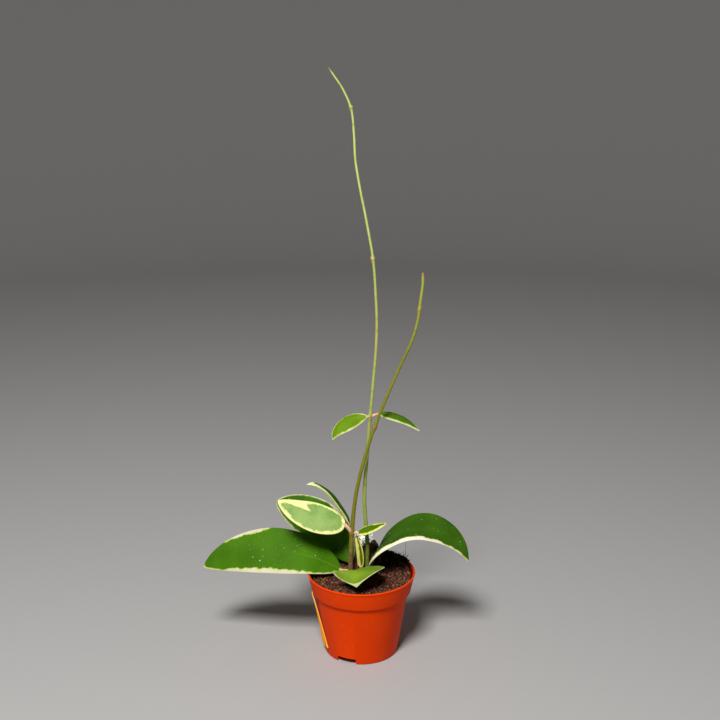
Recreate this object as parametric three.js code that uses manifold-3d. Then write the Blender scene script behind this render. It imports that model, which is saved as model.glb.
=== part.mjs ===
// A young hoya in a small nursery pot: two climbing vines and ten leaves in peat.
// Millimetres, +Z up. Every plant, soil and pot size below is measured from the axis of the pot,
// with z = 0 on the surface that the pot stands on. The front of the pot looks along -Y.
import * as THREE from "three";
import { mergeVertices } from "three/addons/utils/BufferGeometryUtils.js";
import Module from "manifold-3d";

const wasm = await Module();
wasm.setup();

// Driving dimensions of the pot
const POT_HEIGHT = 46.6;
const RIM_RADIUS = 30;
const BAND_FOOT_Z = 36; // lower edge of the wide band below the lip
const BAND_FOOT_RADIUS = 27.6;
const WALL_TOP_RADIUS = 25.5;
const FOOT_RADIUS = 20.4;
const FOOT_WIDTH = 1.3;
const WALL = 0.8;
const LIP_RADIUS = 0.55; // of the round bead that ends the wall
const LIP_STEP = 1; // how far the bead stands out past the top of the band
const BAND_STEP = 0.8; // height of the sloping step under the band and of the one under the lip
const FLOOR_UNDERSIDE = 3.1;
const FLOOR_FILLET = 0.6; // height of the bevel where the floor meets the wall inside
const NOTCH_COUNT = 3;
const NOTCH_WIDTH = 11;
const NOTCH_TURN = 24; // degrees that the first foot notch lies left of the front
const DRAIN_RADIUS = 2.2;
const DRAIN_RING = 13;
const DRAIN_SIDES = 20;
const POT_SIDES = 60;

// Driving dimensions of the soil and of the rooting plug
const GAP = 0.3; // clearance that touching pieces keep
const SOIL_EDGE_Z = 41.8;
const SOIL_SIDES = 48;
const SOIL_RINGS = 13; // over its top, from the wall to the middle
const MOUND_RISE = 4.4; // the soil climbs this much towards the back wall
const MOUND_FRONT = -10;
const MOUND_BACK = 24; // the climb lies between these two places, counted towards the back
const LUMP = 0.35;
const HEAP_CENTRE = [16.5, 15.5]; // of the loose heap at the back right
const HEAP_RISE = 4.6;
const HEAP_REACH = 8;
const HEAP_FADE = 0.8; // distance from the wall over which the heap runs out
const PLUG_CENTRE = [1.4, 15];
const PLUG_RADIUS = 6.9;
const PLUG_TOP_RADIUS = 4.3;
const PLUG_FOOT_Z = 24;
const PLUG_SHOULDER = 13; // height over which the top of the plug narrows
const PLUG_TOP_Z = 61.4;
const PLUG_BEVEL = 0.8;
const PLUG_SIDES = 24;
const COLLAR_RISE = 10; // peat heaped against the plug
const COLLAR_REACH = 2.2;
const PAPER = 0.6;
const PAPER_FOOT_Z = 32;
const PAPER_TOP_Z = 62.8; // mean height of its torn edge

// Driving dimensions of the label card on the left side of the pot: the radius of its inner face
// and how far it reaches round towards the front, at its top and at its foot
const LABEL = {
  width: 20,
  thick: 0.6,
  top: 33.6,
  foot: 4.2,
  topRadius: 27.12,
  footRadius: 21.34,
  topReach: 7.5,
  footReach: 12,
};

// Driving dimensions shared by the vines and leaves
const VINE_STEP = 3.8; // length of one straight stretch of a vine
const VINE_SIDES = 8;
const PETIOLE_SIDES = 7;
const PETIOLE_STEPS = 9;
const PETIOLE_TAPER = 0.62; // share of its radius that a petiole loses on its way under the blade
const BLADE_EDGE = 0.6; // thickness at the margin
const BLADE_RIB = 1; // thickness over the midrib
const BLADE_TIP = 0.35; // half width at the very tip and foot of a blade
const BLADE_ROWS = 16;
const BLADE_COLUMNS = 6;

// Each vine: its radii at the foot and at the tip, thinning, the power by which it gets from one to
// the other, its route, and the nodes where it swells, as [height, swelling, reach].
const VINES = {
  vine_front: {
    foot: 1.5,
    tip: 0.75,
    thinning: 2.6,
    route: [
      [-6.4, 2.2, 34.5],
      [-6.1, 2, 46],
      [-5.8, 1.7, 58],
      [-5.3, 1.5, 68.6],
      [-3.6, 1.3, 87],
      [-0.8, 1, 102.4],
      [3.4, 0.8, 118.6],
      [7.3, 0.8, 131],
      [12.9, 0.8, 145.7],
      [17.4, 0.5, 157],
      [22.1, 0, 168.2],
      [26.8, -0.6, 179.2],
      [29.6, -1.2, 190.2],
      [30.9, -1.6, 201],
      [31.9, -1.4, 209],
      [31.9, -1, 215.5],
    ],
    nodes: [
      [69, 0.5, 1.8],
      [130.5, 0.5, 2],
      [195.5, 0.4, 1.6],
    ],
  },
  vine_rear: {
    foot: 1.2,
    tip: 0.55,
    thinning: 1.6,
    route: [
      [3.1, 4.2, 34.5],
      [3.2, 4.5, 47.3],
      [3.4, 5.1, 59.8],
      [2.6, 5.6, 70.5],
      [1.7, 6, 86.3],
      [2.1, 6.3, 98],
      [3.2, 6.6, 112.5],
      [4, 6.6, 125.3],
      [4.8, 6.5, 135],
      [6.5, 7, 155.2],
      [7.8, 7, 171.9],
      [8.2, 6.5, 186.3],
      [7.6, 6, 201.6],
      [6.1, 5.2, 221.1],
      [2.5, 5, 241.9],
      [-0.6, 5.6, 257.3],
      [-3.1, 6.5, 272.5],
      [-3.8, 7, 285.1],
      [-5.1, 6.5, 297.6],
      [-9.2, 5.1, 307.5],
      [-14, 3.6, 314.8],
      [-16.7, 3, 318.7],
    ],
    nodes: [
      [134.6, 0.45, 1.8],
      [221, 0.45, 1.7],
      [298.5, 0.3, 1.4],
    ],
  },
};

// Each leaf: the four control points of its midrib, from foot to tip; the way its upper face looks
// at the foot and at the tip; its half width; foot and tip, the powers that shape its outline;
// arch, how far the blade curls away from its face; fold, how far its halves lean back from the
// midrib (less than 0 folds them up); and its petiole, from the axis of the vine that bears it.
const LEAVES = {
  leaf_large_left: {
    midrib: [[-11.6, 2.1, 46.1], [-35.4, 0.5, 61.9], [-64.2, 8.2, 58.9], [-87.9, 2.1, 47.9]],
    face: [[0.06, -0.68, 0.76], [0.11, -0.86, 0.4]],
    halfWidth: 12.5,
    outline: [0.68, 0.76],
    arch: -0.01,
    fold: -0.02,
    wave: 0.5,
    petiole: { vine: "vine_front", from: [-6.3, 2.1, 45.3], radius: 1.1 },
    green: 0x35611a,
  },
  leaf_large_right: {
    midrib: [[4.6, 3.4, 47.2], [8.2, 1.2, 69.7], [47, 3.5, 87.2], [59.3, -2.1, 53.5]],
    face: [[-1.16, 0.37, 0.29], [-0.5, -0.59, 1.92]],
    halfWidth: 14.4,
    outline: [0.76, 1.05],
    arch: -0.31,
    fold: 0.3,
    wave: 0.4,
    petiole: { vine: "vine_rear", from: [3.2, 4.4, 46.2], radius: 1 },
    green: 0x3c6320,
  },
  leaf_back: {
    midrib: [[-5.9, 7.2, 48.6], [-14.8, 17, 66.6], [-30.9, 25, 70.4], [-48.2, 22, 79]],
    face: [[-0.43, -0.7, 0.46], [-0.24, -0.83, 0.55]],
    halfWidth: 12,
    outline: [0.62, 0.68],
    arch: 0.15,
    fold: -0.06,
    wave: 0.3,
    petiole: { vine: "vine_front", from: [-6.3, 2.1, 45.8], radius: 1 },
    green: 0x2c4f1d,
  },
  leaf_pale: {
    midrib: [[-9.1, 0.5, 74], [-23.1, -3.1, 79.4], [-34.9, -2.9, 81.6], [-45.5, -3, 89.5]],
    face: [[0.1, -0.71, 0.67], [-0.1, -0.73, 0.65]],
    halfWidth: 8.1,
    outline: [0.45, 0.78],
    arch: 0.1,
    fold: -0.02,
    wave: 0.2,
    petiole: { vine: "vine_front", from: [-5.3, 1.5, 69.2], radius: 0.9 },
    green: 0x7fa845,
  },
  leaf_small_right: {
    midrib: [[-1.8, 0.4, 69.1], [2.1, -1.1, 71.8], [8.4, -2.5, 73.4], [13.6, -4, 76.7]],
    face: [[0, -0.4, 0.9], [0.11, -0.3, 0.92]],
    halfWidth: 3.2,
    outline: [0.49, 0.79],
    arch: 0.07,
    fold: 0,
    wave: 0,
    petiole: { vine: "vine_front", from: [-5.3, 1.5, 68.8], radius: 0.7 },
    green: 0x5f9028,
  },
  leaf_curled: {
    midrib: [[-6.6, 4, 72.2], [-11.3, 4, 81.8], [-22.3, 3.2, 99.4], [-30, 2.2, 96.8]],
    face: [[0.74, 0.01, 0.68], [0.48, 0.22, 0.85]],
    halfWidth: 6.1,
    outline: [0.43, 0.83],
    arch: -0.04,
    fold: -0.2,
    wave: 0.2,
    petiole: { vine: "vine_front", from: [-5.3, 1.5, 69.6], radius: 0.7 },
    green: 0x33581c,
  },
  leaf_young: {
    midrib: [[-0.8, 3, 47.6], [1.2, 2.7, 51.4], [-2.5, 2.2, 65.9], [-2.7, 3, 66.4]],
    face: [[-0.38, -0.9, 0.19], [-0.23, -0.91, 0.26]],
    halfWidth: 1.7,
    outline: [0.53, 0.59],
    arch: 0,
    fold: -0.54,
    wave: 0,
    petiole: { vine: "vine_rear", from: [3.1, 4.3, 45.2], radius: 0.8 },
    green: 0x7f8f35,
  },
  leaf_front: {
    midrib: [[-5, -7.2, 48.4], [-0.6, -10.2, 53.8], [-0.3, -15.9, 53.1], [-2.6, -24, 48.2]],
    face: [[0.39, -0.31, 0.75], [-0.45, 0.11, 0.6]],
    halfWidth: 14.1,
    outline: [0.77, 1.03],
    arch: -0.03,
    fold: -0.06,
    wave: 0.2,
    petiole: { vine: "vine_front", from: [-6.2, 2, 45.2], radius: 0.9 },
    green: 0x5f8f2e,
  },
  leaf_upper_left: {
    midrib: [[3.3, 5.5, 135.1], [-5.2, 3, 135.6], [-14.5, 0.3, 130.4], [-15.5, 0.1, 123.6]],
    face: [[-0.11, -0.6, 0.81], [-0.45, -0.56, 0.67]],
    halfWidth: 4.5,
    outline: [0.78, 1],
    arch: 0.19,
    fold: 0.09,
    wave: 0,
    petiole: { vine: "vine_rear", from: [4.8, 6.5, 134.6], radius: 0.65 },
    green: 0x5b8c24,
  },
  leaf_upper_right: {
    midrib: [[9.3, 7.5, 136], [17.1, 9.5, 135.7], [23.8, 10.1, 133.1], [31.6, 7, 126.3]],
    face: [[0.04, -0.33, 0.93], [0.43, -0.33, 0.77]],
    halfWidth: 3.2,
    outline: [0.5, 0.81],
    arch: 0.2,
    fold: 0.15,
    wave: 0,
    petiole: { vine: "vine_rear", from: [4.8, 6.5, 134.6], radius: 0.65 },
    green: 0x4f8222,
  },
};

const vector = (p) => new THREE.Vector3(...p);

// Turns a closed three.js geometry into a solid that can be joined and cut.
function solid(geometry) {
  const bare = geometry.index ? geometry.toNonIndexed() : geometry.clone();
  bare.deleteAttribute("normal");
  bare.deleteAttribute("uv");
  const merged = mergeVertices(bare, 1e-4);
  return new wasm.Manifold(
    new wasm.Mesh({
      numProp: 3,
      vertProperties: merged.attributes.position.array,
      triVerts: new Uint32Array(merged.index.array),
    }),
  );
}

// Turns a solid back into a flat-shaded three.js geometry.
function geometryOf(made) {
  const mesh = made.getMesh();
  const geometry = new THREE.BufferGeometry();
  geometry.setAttribute("position", new THREE.BufferAttribute(mesh.vertProperties, 3));
  geometry.setIndex(new THREE.BufferAttribute(mesh.triVerts, 1));
  const flat = geometry.toNonIndexed();
  flat.computeVertexNormals();
  return flat;
}

// A closed geometry from rings of points, each ring joined to the next and both ends capped.
function ringSolid(rings) {
  const count = rings[0].length;
  const index = [];
  for (let i = 0; i + 1 < rings.length; i++) {
    for (let j = 0; j < count; j++) {
      const a = i * count + j;
      const b = i * count + ((j + 1) % count);
      index.push(a, b, b + count, a, b + count, a + count);
    }
  }
  const last = (rings.length - 1) * count;
  for (let j = 1; j + 1 < count; j++) {
    index.push(0, j + 1, j, last, last + j, last + j + 1);
  }
  const geometry = new THREE.BufferGeometry();
  const flat = rings.flat().flatMap((p) => [p.x, p.y, p.z]);
  geometry.setAttribute("position", new THREE.Float32BufferAttribute(flat, 3));
  geometry.setIndex(index);
  return geometry;
}

// A round tube along a curve, whose radius is a function of the share of the length passed.
function taperedTube(curve, radiusAt, sides, steps) {
  const frames = curve.computeFrenetFrames(steps);
  const rings = [];
  for (let i = 0; i <= steps; i++) {
    const centre = curve.getPointAt(i / steps);
    const radius = radiusAt(i / steps, centre);
    const ring = [];
    for (let j = 0; j < sides; j++) {
      const turn = (2 * Math.PI * j) / sides;
      ring.push(
        centre
          .clone()
          .addScaledVector(frames.normals[i], radius * Math.cos(turn))
          .addScaledVector(frames.binormals[i], radius * Math.sin(turn)),
      );
    }
    rings.push(ring);
  }
  return ringSolid(rings);
}

// The pot's wall, lip, band and raised floor, turned in one piece.
function potGeometry() {
  const floor = FLOOR_UNDERSIDE + 1;
  const bandTop = POT_HEIGHT - 2 * LIP_RADIUS - BAND_STEP;
  const lip = [-50, -5, 40, 85, 130, 175].map((degrees) => {
    const turn = THREE.MathUtils.degToRad(degrees);
    return [
      RIM_RADIUS - LIP_RADIUS + LIP_RADIUS * Math.cos(turn),
      POT_HEIGHT - LIP_RADIUS + LIP_RADIUS * Math.sin(turn),
    ];
  });
  const points = [
    [0, FLOOR_UNDERSIDE],
    [FOOT_RADIUS - FOOT_WIDTH, FLOOR_UNDERSIDE],
    [FOOT_RADIUS - FOOT_WIDTH, 0],
    [FOOT_RADIUS, 0],
    [WALL_TOP_RADIUS, BAND_FOOT_Z - BAND_STEP],
    [BAND_FOOT_RADIUS, BAND_FOOT_Z],
    [RIM_RADIUS - LIP_STEP, bandTop],
    ...lip,
    [RIM_RADIUS - LIP_STEP - WALL, bandTop],
    [BAND_FOOT_RADIUS - WALL, BAND_FOOT_Z + WALL],
    [WALL_TOP_RADIUS - WALL, BAND_FOOT_Z],
    [FOOT_RADIUS - FOOT_WIDTH + FLOOR_FILLET, floor + FLOOR_FILLET],
    [FOOT_RADIUS - FOOT_WIDTH, floor],
    [0, floor],
  ];
  const profile = points.map(([r, z]) => new THREE.Vector2(r, z));
  const turned = new THREE.LatheGeometry(profile, POT_SIDES);
  turned.rotateX(Math.PI / 2);
  return turned;
}

// Cuts the notches through the foot ring and, inside each, a drain hole through the floor.
function makePot() {
  let pot = solid(potGeometry());
  for (let i = 0; i < NOTCH_COUNT; i++) {
    const turn = THREE.MathUtils.degToRad((360 * i) / NOTCH_COUNT - NOTCH_TURN);
    const notch = new THREE.BoxGeometry(NOTCH_WIDTH, 5, 2 * FLOOR_UNDERSIDE);
    notch.translate(0, -FOOT_RADIUS, 0);
    notch.rotateZ(turn);
    const drain = new THREE.CylinderGeometry(DRAIN_RADIUS, DRAIN_RADIUS, 6, DRAIN_SIDES);
    drain.rotateX(Math.PI / 2);
    drain.translate(0, -DRAIN_RING, FLOOR_UNDERSIDE);
    drain.rotateZ(turn);
    pot = pot.subtract(solid(notch)).subtract(solid(drain));
  }
  return pot;
}

// Height of the soil: level at the front, rising towards the back, heaped against the plug and at
// the back right, with small lumps.
function soilHeight(x, y) {
  const back = THREE.MathUtils.smoothstep(y, MOUND_FRONT, MOUND_BACK);
  const fromPlug = Math.hypot(x - PLUG_CENTRE[0], y - PLUG_CENTRE[1]) - PLUG_RADIUS;
  const collar = COLLAR_RISE * Math.exp(-((Math.max(fromPlug, 0) / COLLAR_REACH) ** 2));
  const fromHeap = Math.hypot(x - HEAP_CENTRE[0], y - HEAP_CENTRE[1]) / HEAP_REACH;
  const fromWall = BAND_FOOT_RADIUS - Math.hypot(x, y);
  const fade = THREE.MathUtils.smoothstep(fromWall, 0, HEAP_FADE);
  const heap = HEAP_RISE * Math.exp(-(fromHeap ** 2)) * fade;
  const lumps = Math.sin(1.1 * x + 0.7 * y) * Math.sin(0.9 * y - 0.5 * x + 1);
  return SOIL_EDGE_Z + MOUND_RISE * back + collar + heap + LUMP * lumps;
}

// The soil: rings up its side, just clear of the wall, then rings inwards over its uneven top.
function soilGeometry() {
  const ringAt = (radius, heightOf) =>
    Array.from({ length: SOIL_SIDES }, (_, j) => {
      const turn = (2 * Math.PI * j) / SOIL_SIDES;
      const x = radius * Math.cos(turn);
      const y = radius * Math.sin(turn);
      return new THREE.Vector3(x, y, heightOf(x, y));
    });
  const floor = FLOOR_UNDERSIDE + 1 + GAP;
  const side = [
    [FOOT_RADIUS - FOOT_WIDTH - GAP, floor],
    [FOOT_RADIUS - FOOT_WIDTH + FLOOR_FILLET - GAP, floor + FLOOR_FILLET],
    [WALL_TOP_RADIUS - WALL - 1.3 * GAP, BAND_FOOT_Z + 0.6 * GAP],
    [BAND_FOOT_RADIUS - WALL - GAP, BAND_FOOT_Z + WALL + GAP],
  ];
  const rings = side.map(([radius, z]) => ringAt(radius, () => z));
  const brim = BAND_FOOT_RADIUS - GAP;
  for (let i = 0; i < SOIL_RINGS; i++) {
    rings.push(ringAt(brim * (1 - (0.95 * i) / SOIL_RINGS), soilHeight));
  }
  return ringSolid(rings);
}

// The outside of the plug, turned round its own axis, with a margin round its side and a gap
// under its foot when it cuts its hole in the soil.
function plugGeometry(margin, top) {
  const foot = PLUG_FOOT_Z - Math.min(margin, GAP);
  const profile = [
    [0, foot],
    [PLUG_RADIUS - PLUG_BEVEL + margin, foot],
    [PLUG_RADIUS + margin, PAPER_FOOT_Z],
    [PLUG_RADIUS + margin, PLUG_TOP_Z - PLUG_SHOULDER],
    [PLUG_TOP_RADIUS + margin, top - PLUG_BEVEL],
    [PLUG_TOP_RADIUS - PLUG_BEVEL + margin, top],
    [0, top],
  ].map(([r, z]) => new THREE.Vector2(r, z));
  const turned = new THREE.LatheGeometry(profile, PLUG_SIDES);
  turned.rotateX(Math.PI / 2);
  turned.translate(PLUG_CENTRE[0], PLUG_CENTRE[1], 0);
  return turned;
}

// The perforated paper sleeve: a thin tube round the peat whose top edge is torn unevenly.
function makePaper() {
  const torn = (turn) => PAPER_TOP_Z - 0.9 * Math.sin(turn) + 0.5 * Math.sin(5 * turn + 1);
  const ringAt = (radius, heightOf) =>
    Array.from({ length: PLUG_SIDES }, (_, j) => {
      const turn = (2 * Math.PI * j) / PLUG_SIDES;
      const x = PLUG_CENTRE[0] + radius * Math.cos(turn);
      const y = PLUG_CENTRE[1] + radius * Math.sin(turn);
      return new THREE.Vector3(x, y, heightOf(turn));
    });
  const wall = (margin) => [
    ringAt(PLUG_RADIUS + margin, () => PAPER_FOOT_Z),
    ringAt(PLUG_RADIUS + margin, () => PLUG_TOP_Z - PLUG_SHOULDER),
    ringAt(PLUG_TOP_RADIUS + margin, torn),
  ];
  return solid(closedRing([...wall(GAP + PAPER), ...wall(GAP).reverse()]));
}

// A closed geometry from rings of points whose last ring joins the first, such as a tube's wall.
function closedRing(rings) {
  const count = rings[0].length;
  const index = [];
  for (let i = 0; i < rings.length; i++) {
    const next = (i + 1) % rings.length;
    for (let j = 0; j < count; j++) {
      const turn = (j + 1) % count;
      const [a, b] = [i * count + j, i * count + turn];
      const [c, d] = [next * count + turn, next * count + j];
      index.push(a, b, c, a, c, d);
    }
  }
  const geometry = new THREE.BufferGeometry();
  const flat = rings.flat().flatMap((p) => [p.x, p.y, p.z]);
  geometry.setAttribute("position", new THREE.Float32BufferAttribute(flat, 3));
  geometry.setIndex(index);
  return geometry;
}

// The label: a card bent round the left of the pot, leaning from its band in to its wall and
// turned a little askew.
function makeLabel() {
  const { width, thick, top, foot, topRadius, footRadius, topReach, footReach } = LABEL;
  const card = new THREE.BoxGeometry(thick, width, top - foot, 1, 8, 4);
  const place = card.getAttribute("position");
  for (let i = 0; i < place.count; i++) {
    const share = 0.5 + place.getZ(i) / (top - foot);
    const radius = THREE.MathUtils.lerp(footRadius, topRadius, share);
    const reach = THREE.MathUtils.lerp(footReach, topReach, share);
    const turn = Math.PI + (reach - width / 2 - place.getY(i)) / radius;
    const out = radius + thick / 2 - place.getX(i);
    const z = foot + share * (top - foot);
    place.setXYZ(i, out * Math.cos(turn), out * Math.sin(turn), z);
  }
  return solid(card);
}

// Radius of a vine at a place on it: tapering, rounded off at the tip and swollen at each node.
function vineRadius(name) {
  const { foot, tip, thinning, nodes } = VINES[name];
  return (share, centre) => {
    const swelling = nodes.reduce((sum, [height, rise, reach]) => {
      const away = (centre.z - height) / reach;
      return sum + rise * Math.exp(-away * away);
    }, 0);
    const rounded = Math.sqrt(Math.max(1 - share ** 40, 0.04));
    return (tip + (foot - tip) * (1 - share) ** thinning) * rounded + swelling;
  };
}

// A vine, or with a clearance the grown shape that cuts its hole and hollows its petioles.
function makeVine(name, clearance = 0) {
  const route = VINES[name].route.map(vector);
  route[0].z -= clearance;
  const curve = new THREE.CatmullRomCurve3(route, false, "catmullrom", 0.5);
  const radius = vineRadius(name);
  const steps = Math.round(curve.getLength() / VINE_STEP);
  return solid(
    taperedTube(curve, (share, centre) => radius(share, centre) + clearance, VINE_SIDES, steps),
  );
}

// Share of the full half width at a place along the blade: 1 at its widest, 0 at both ends.
function outlineAt(share, [foot, tip]) {
  const widest = foot / (foot + tip);
  const peak = widest ** foot * (1 - widest) ** tip;
  return (share ** foot * (1 - share) ** tip) / peak;
}

// A leaf blade: a grid of points along the midrib and across it, given a thickness on both faces.
function bladeGeometry({ midrib, face, halfWidth, outline, arch, fold, wave }) {
  const curve = new THREE.CubicBezierCurve3(...midrib.map(vector));
  const [faceFoot, faceTip] = face.map(vector);
  const rings = [];
  for (let i = 0; i <= BLADE_ROWS; i++) {
    const share = 0.5 - 0.5 * Math.cos((Math.PI * i) / BLADE_ROWS);
    const along = curve.getTangent(share);
    const side = along.clone().cross(faceFoot.clone().lerp(faceTip, share)).normalize();
    const up = side.clone().cross(along);
    const width = halfWidth * outlineAt(share, outline) + BLADE_TIP;
    const upper = [];
    const lower = [];
    for (let j = 0; j <= BLADE_COLUMNS; j++) {
      const across = (2 * j) / BLADE_COLUMNS - 1;
      const q = across * width;
      const bent = arch * ((q * q) / halfWidth) + fold * (Math.hypot(q, 1) - 1);
      const ripple = wave * across ** 4 * Math.sin(14 * share + across) * (width / halfWidth);
      const slope = (2 * arch * q) / halfWidth + (fold * q) / Math.hypot(q, 1);
      const centre = curve
        .getPoint(share)
        .addScaledVector(side, q)
        .addScaledVector(up, ripple - bent);
      const outward = up.clone().addScaledVector(side, slope).normalize();
      const thick = BLADE_EDGE + (BLADE_RIB - BLADE_EDGE) * (1 - Math.abs(across)) ** 2;
      upper.push(centre.clone().addScaledVector(outward, thick / 2));
      lower.push(centre.clone().addScaledVector(outward, -thick / 2));
    }
    rings.push([...upper, ...lower.reverse()]);
  }
  return ringSolid(rings);
}

// A leaf: the blade joined to its petiole, whose end is hollowed to sit against its vine.
function makeLeaf(leaf, grownVine) {
  const midrib = new THREE.CubicBezierCurve3(...leaf.midrib.map(vector));
  const { from, radius } = leaf.petiole;
  const stalk = new THREE.CatmullRomCurve3(
    [vector(from), midrib.getPoint(0), midrib.getPoint(0.1), midrib.getPoint(0.3)],
    false,
    "catmullrom",
    0.5,
  );
  const radiusAt = (share) => radius * (1 - PETIOLE_TAPER * share);
  const tube = taperedTube(stalk, radiusAt, PETIOLE_SIDES, PETIOLE_STEPS);
  return solid(bladeGeometry(leaf)).add(solid(tube)).subtract(grownVine);
}

function mesh(name, made, color, roughness) {
  const material = new THREE.MeshStandardMaterial({ color, roughness, metalness: 0 });
  const piece = new THREE.Mesh(geometryOf(made), material);
  piece.name = name;
  return piece;
}

const plant = new THREE.Group();
const grownVines = {
  vine_front: makeVine("vine_front", GAP),
  vine_rear: makeVine("vine_rear", GAP),
};

const plugHole = solid(plugGeometry(2 * GAP + PAPER, PLUG_TOP_Z + 4));
const soil = solid(soilGeometry())
  .subtract(plugHole)
  .subtract(grownVines.vine_front)
  .subtract(grownVines.vine_rear);

plant.add(mesh("pot", makePot(), 0xcb3c0c, 0.45));
plant.add(mesh("soil", soil, 0x3a2418, 0.95));
plant.add(mesh("rooting_plug", solid(plugGeometry(0, PLUG_TOP_Z)), 0x2e1c14, 0.95));
plant.add(mesh("plug_paper", makePaper(), 0xe6e3dc, 0.85));
plant.add(mesh("pot_label", makeLabel(), 0xe98a1c, 0.5));
plant.add(mesh("vine_front", makeVine("vine_front"), 0x77751f, 0.5));
plant.add(mesh("vine_rear", makeVine("vine_rear"), 0x8a9a3a, 0.5));
for (const [name, leaf] of Object.entries(LEAVES)) {
  plant.add(mesh(name, makeLeaf(leaf, grownVines[leaf.petiole.vine]), leaf.green, 0.4));
}

// The part's origin is the middle of the foot of its bounding box.
const box = new THREE.Box3().setFromObject(plant);
const middle = box.getCenter(new THREE.Vector3());
plant.position.set(-middle.x, -middle.y, -box.min.z);

const pottedHoya = new THREE.Group();
pottedHoya.add(plant);

export default pottedHoya;
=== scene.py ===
# A young hoya in a small nursery pot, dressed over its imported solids.
# Sizes are in millimetres, counted from the foot of the pot's axis, with -Y towards the viewer;
# each piece is put into metres when its mesh is made.
import math

import bpy
import numpy as np
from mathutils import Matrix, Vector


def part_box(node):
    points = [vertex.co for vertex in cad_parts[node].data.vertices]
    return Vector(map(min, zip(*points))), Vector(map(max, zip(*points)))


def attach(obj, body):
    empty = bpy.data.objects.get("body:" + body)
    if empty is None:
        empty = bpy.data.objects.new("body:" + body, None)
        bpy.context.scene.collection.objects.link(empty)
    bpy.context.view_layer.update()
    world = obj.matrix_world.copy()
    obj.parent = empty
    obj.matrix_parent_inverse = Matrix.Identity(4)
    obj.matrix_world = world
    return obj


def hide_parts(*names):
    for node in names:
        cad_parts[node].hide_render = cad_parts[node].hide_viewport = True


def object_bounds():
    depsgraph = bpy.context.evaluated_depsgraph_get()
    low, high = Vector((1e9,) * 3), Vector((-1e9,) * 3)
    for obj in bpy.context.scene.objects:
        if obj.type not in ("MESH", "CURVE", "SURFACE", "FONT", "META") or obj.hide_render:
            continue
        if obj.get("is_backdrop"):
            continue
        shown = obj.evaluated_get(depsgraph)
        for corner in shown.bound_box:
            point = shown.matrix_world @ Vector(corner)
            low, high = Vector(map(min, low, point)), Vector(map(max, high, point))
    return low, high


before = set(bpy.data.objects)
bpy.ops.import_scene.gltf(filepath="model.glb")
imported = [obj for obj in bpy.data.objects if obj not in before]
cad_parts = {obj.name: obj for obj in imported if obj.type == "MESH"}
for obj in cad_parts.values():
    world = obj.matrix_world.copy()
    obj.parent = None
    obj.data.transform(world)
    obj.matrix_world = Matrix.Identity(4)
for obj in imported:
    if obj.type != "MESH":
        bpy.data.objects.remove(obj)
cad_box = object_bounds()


# The camera stands in front of the pot, a little above the leaves, and looks slightly down.
# Its place, tilt and lens are those at which the pot's rim, band and foot fall as photographed.
MM = 0.001
pot_low, pot_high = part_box("pot")
AXIS = np.array([(pot_low[0] + pot_high[0]) / 2, (pot_low[1] + pot_high[1]) / 2, 0.0])
CAMERA_PLACE = (-0.75, -584.5, 323.5)
CAMERA_TILT = 14.88  # degrees below the horizon
camera = bpy.data.objects.new("camera", bpy.data.cameras.new("camera"))
camera.data.lens = 57.0
camera.data.sensor_width = 36.0
camera.location = AXIS + np.array(CAMERA_PLACE) * MM
camera.rotation_euler = (math.radians(90 - CAMERA_TILT), 0, 0)
bpy.context.scene.collection.objects.link(camera)
bpy.context.scene.camera = camera


# The studio: a pale sheet lies flat under the pot and curves up into a wall all round, and a
# soft lamp hangs high in front of it, a little to the left, so the leaves shade the soil.
FLAT_REACH = 1.2  # the sheet's sizes are in metres
BEND_RADIUS = 0.6
SHEET_TOP = 1.6
SHEET_DROP = 0.0002  # how far the sheet lies below the pot's foot


def turns(count):
    """The angles of so many equal steps round a circle."""
    return 2 * np.pi * np.arange(count) / count


def polar(radius, turn, height):
    """Points at a radius and a turn round the upright axis, and at a height."""
    return np.stack(np.broadcast_arrays(radius * np.cos(turn), radius * np.sin(turn), height), -1)


def turned(profile, columns):
    """A profile of radius and height turned round the upright axis, one row for each point."""
    radius, height = np.array(profile).T[..., None]
    return polar(radius, turns(columns), height)


def grid_faces(rows, columns, closed):
    """Quads of a grid whose points are stored row after row, wrapped round if it is closed."""
    across = columns if closed else columns - 1
    i, j = np.meshgrid(np.arange(rows - 1), np.arange(across), indexing="ij")
    k = (j + 1) % columns
    quads = np.stack([i * columns + j, i * columns + k, (i + 1) * columns + k,
                      (i + 1) * columns + j], -1)
    return quads.reshape(-1, 4)


def floor_material():
    """A plain matt pale grey."""
    material = bpy.data.materials.new("studio_floor")
    material.use_nodes = True
    shader = material.node_tree.nodes["Principled BSDF"]
    shader.inputs["Base Color"].default_value = (0.42, 0.41, 0.4, 1)
    shader.inputs["Roughness"].default_value = 0.8
    return material


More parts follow.
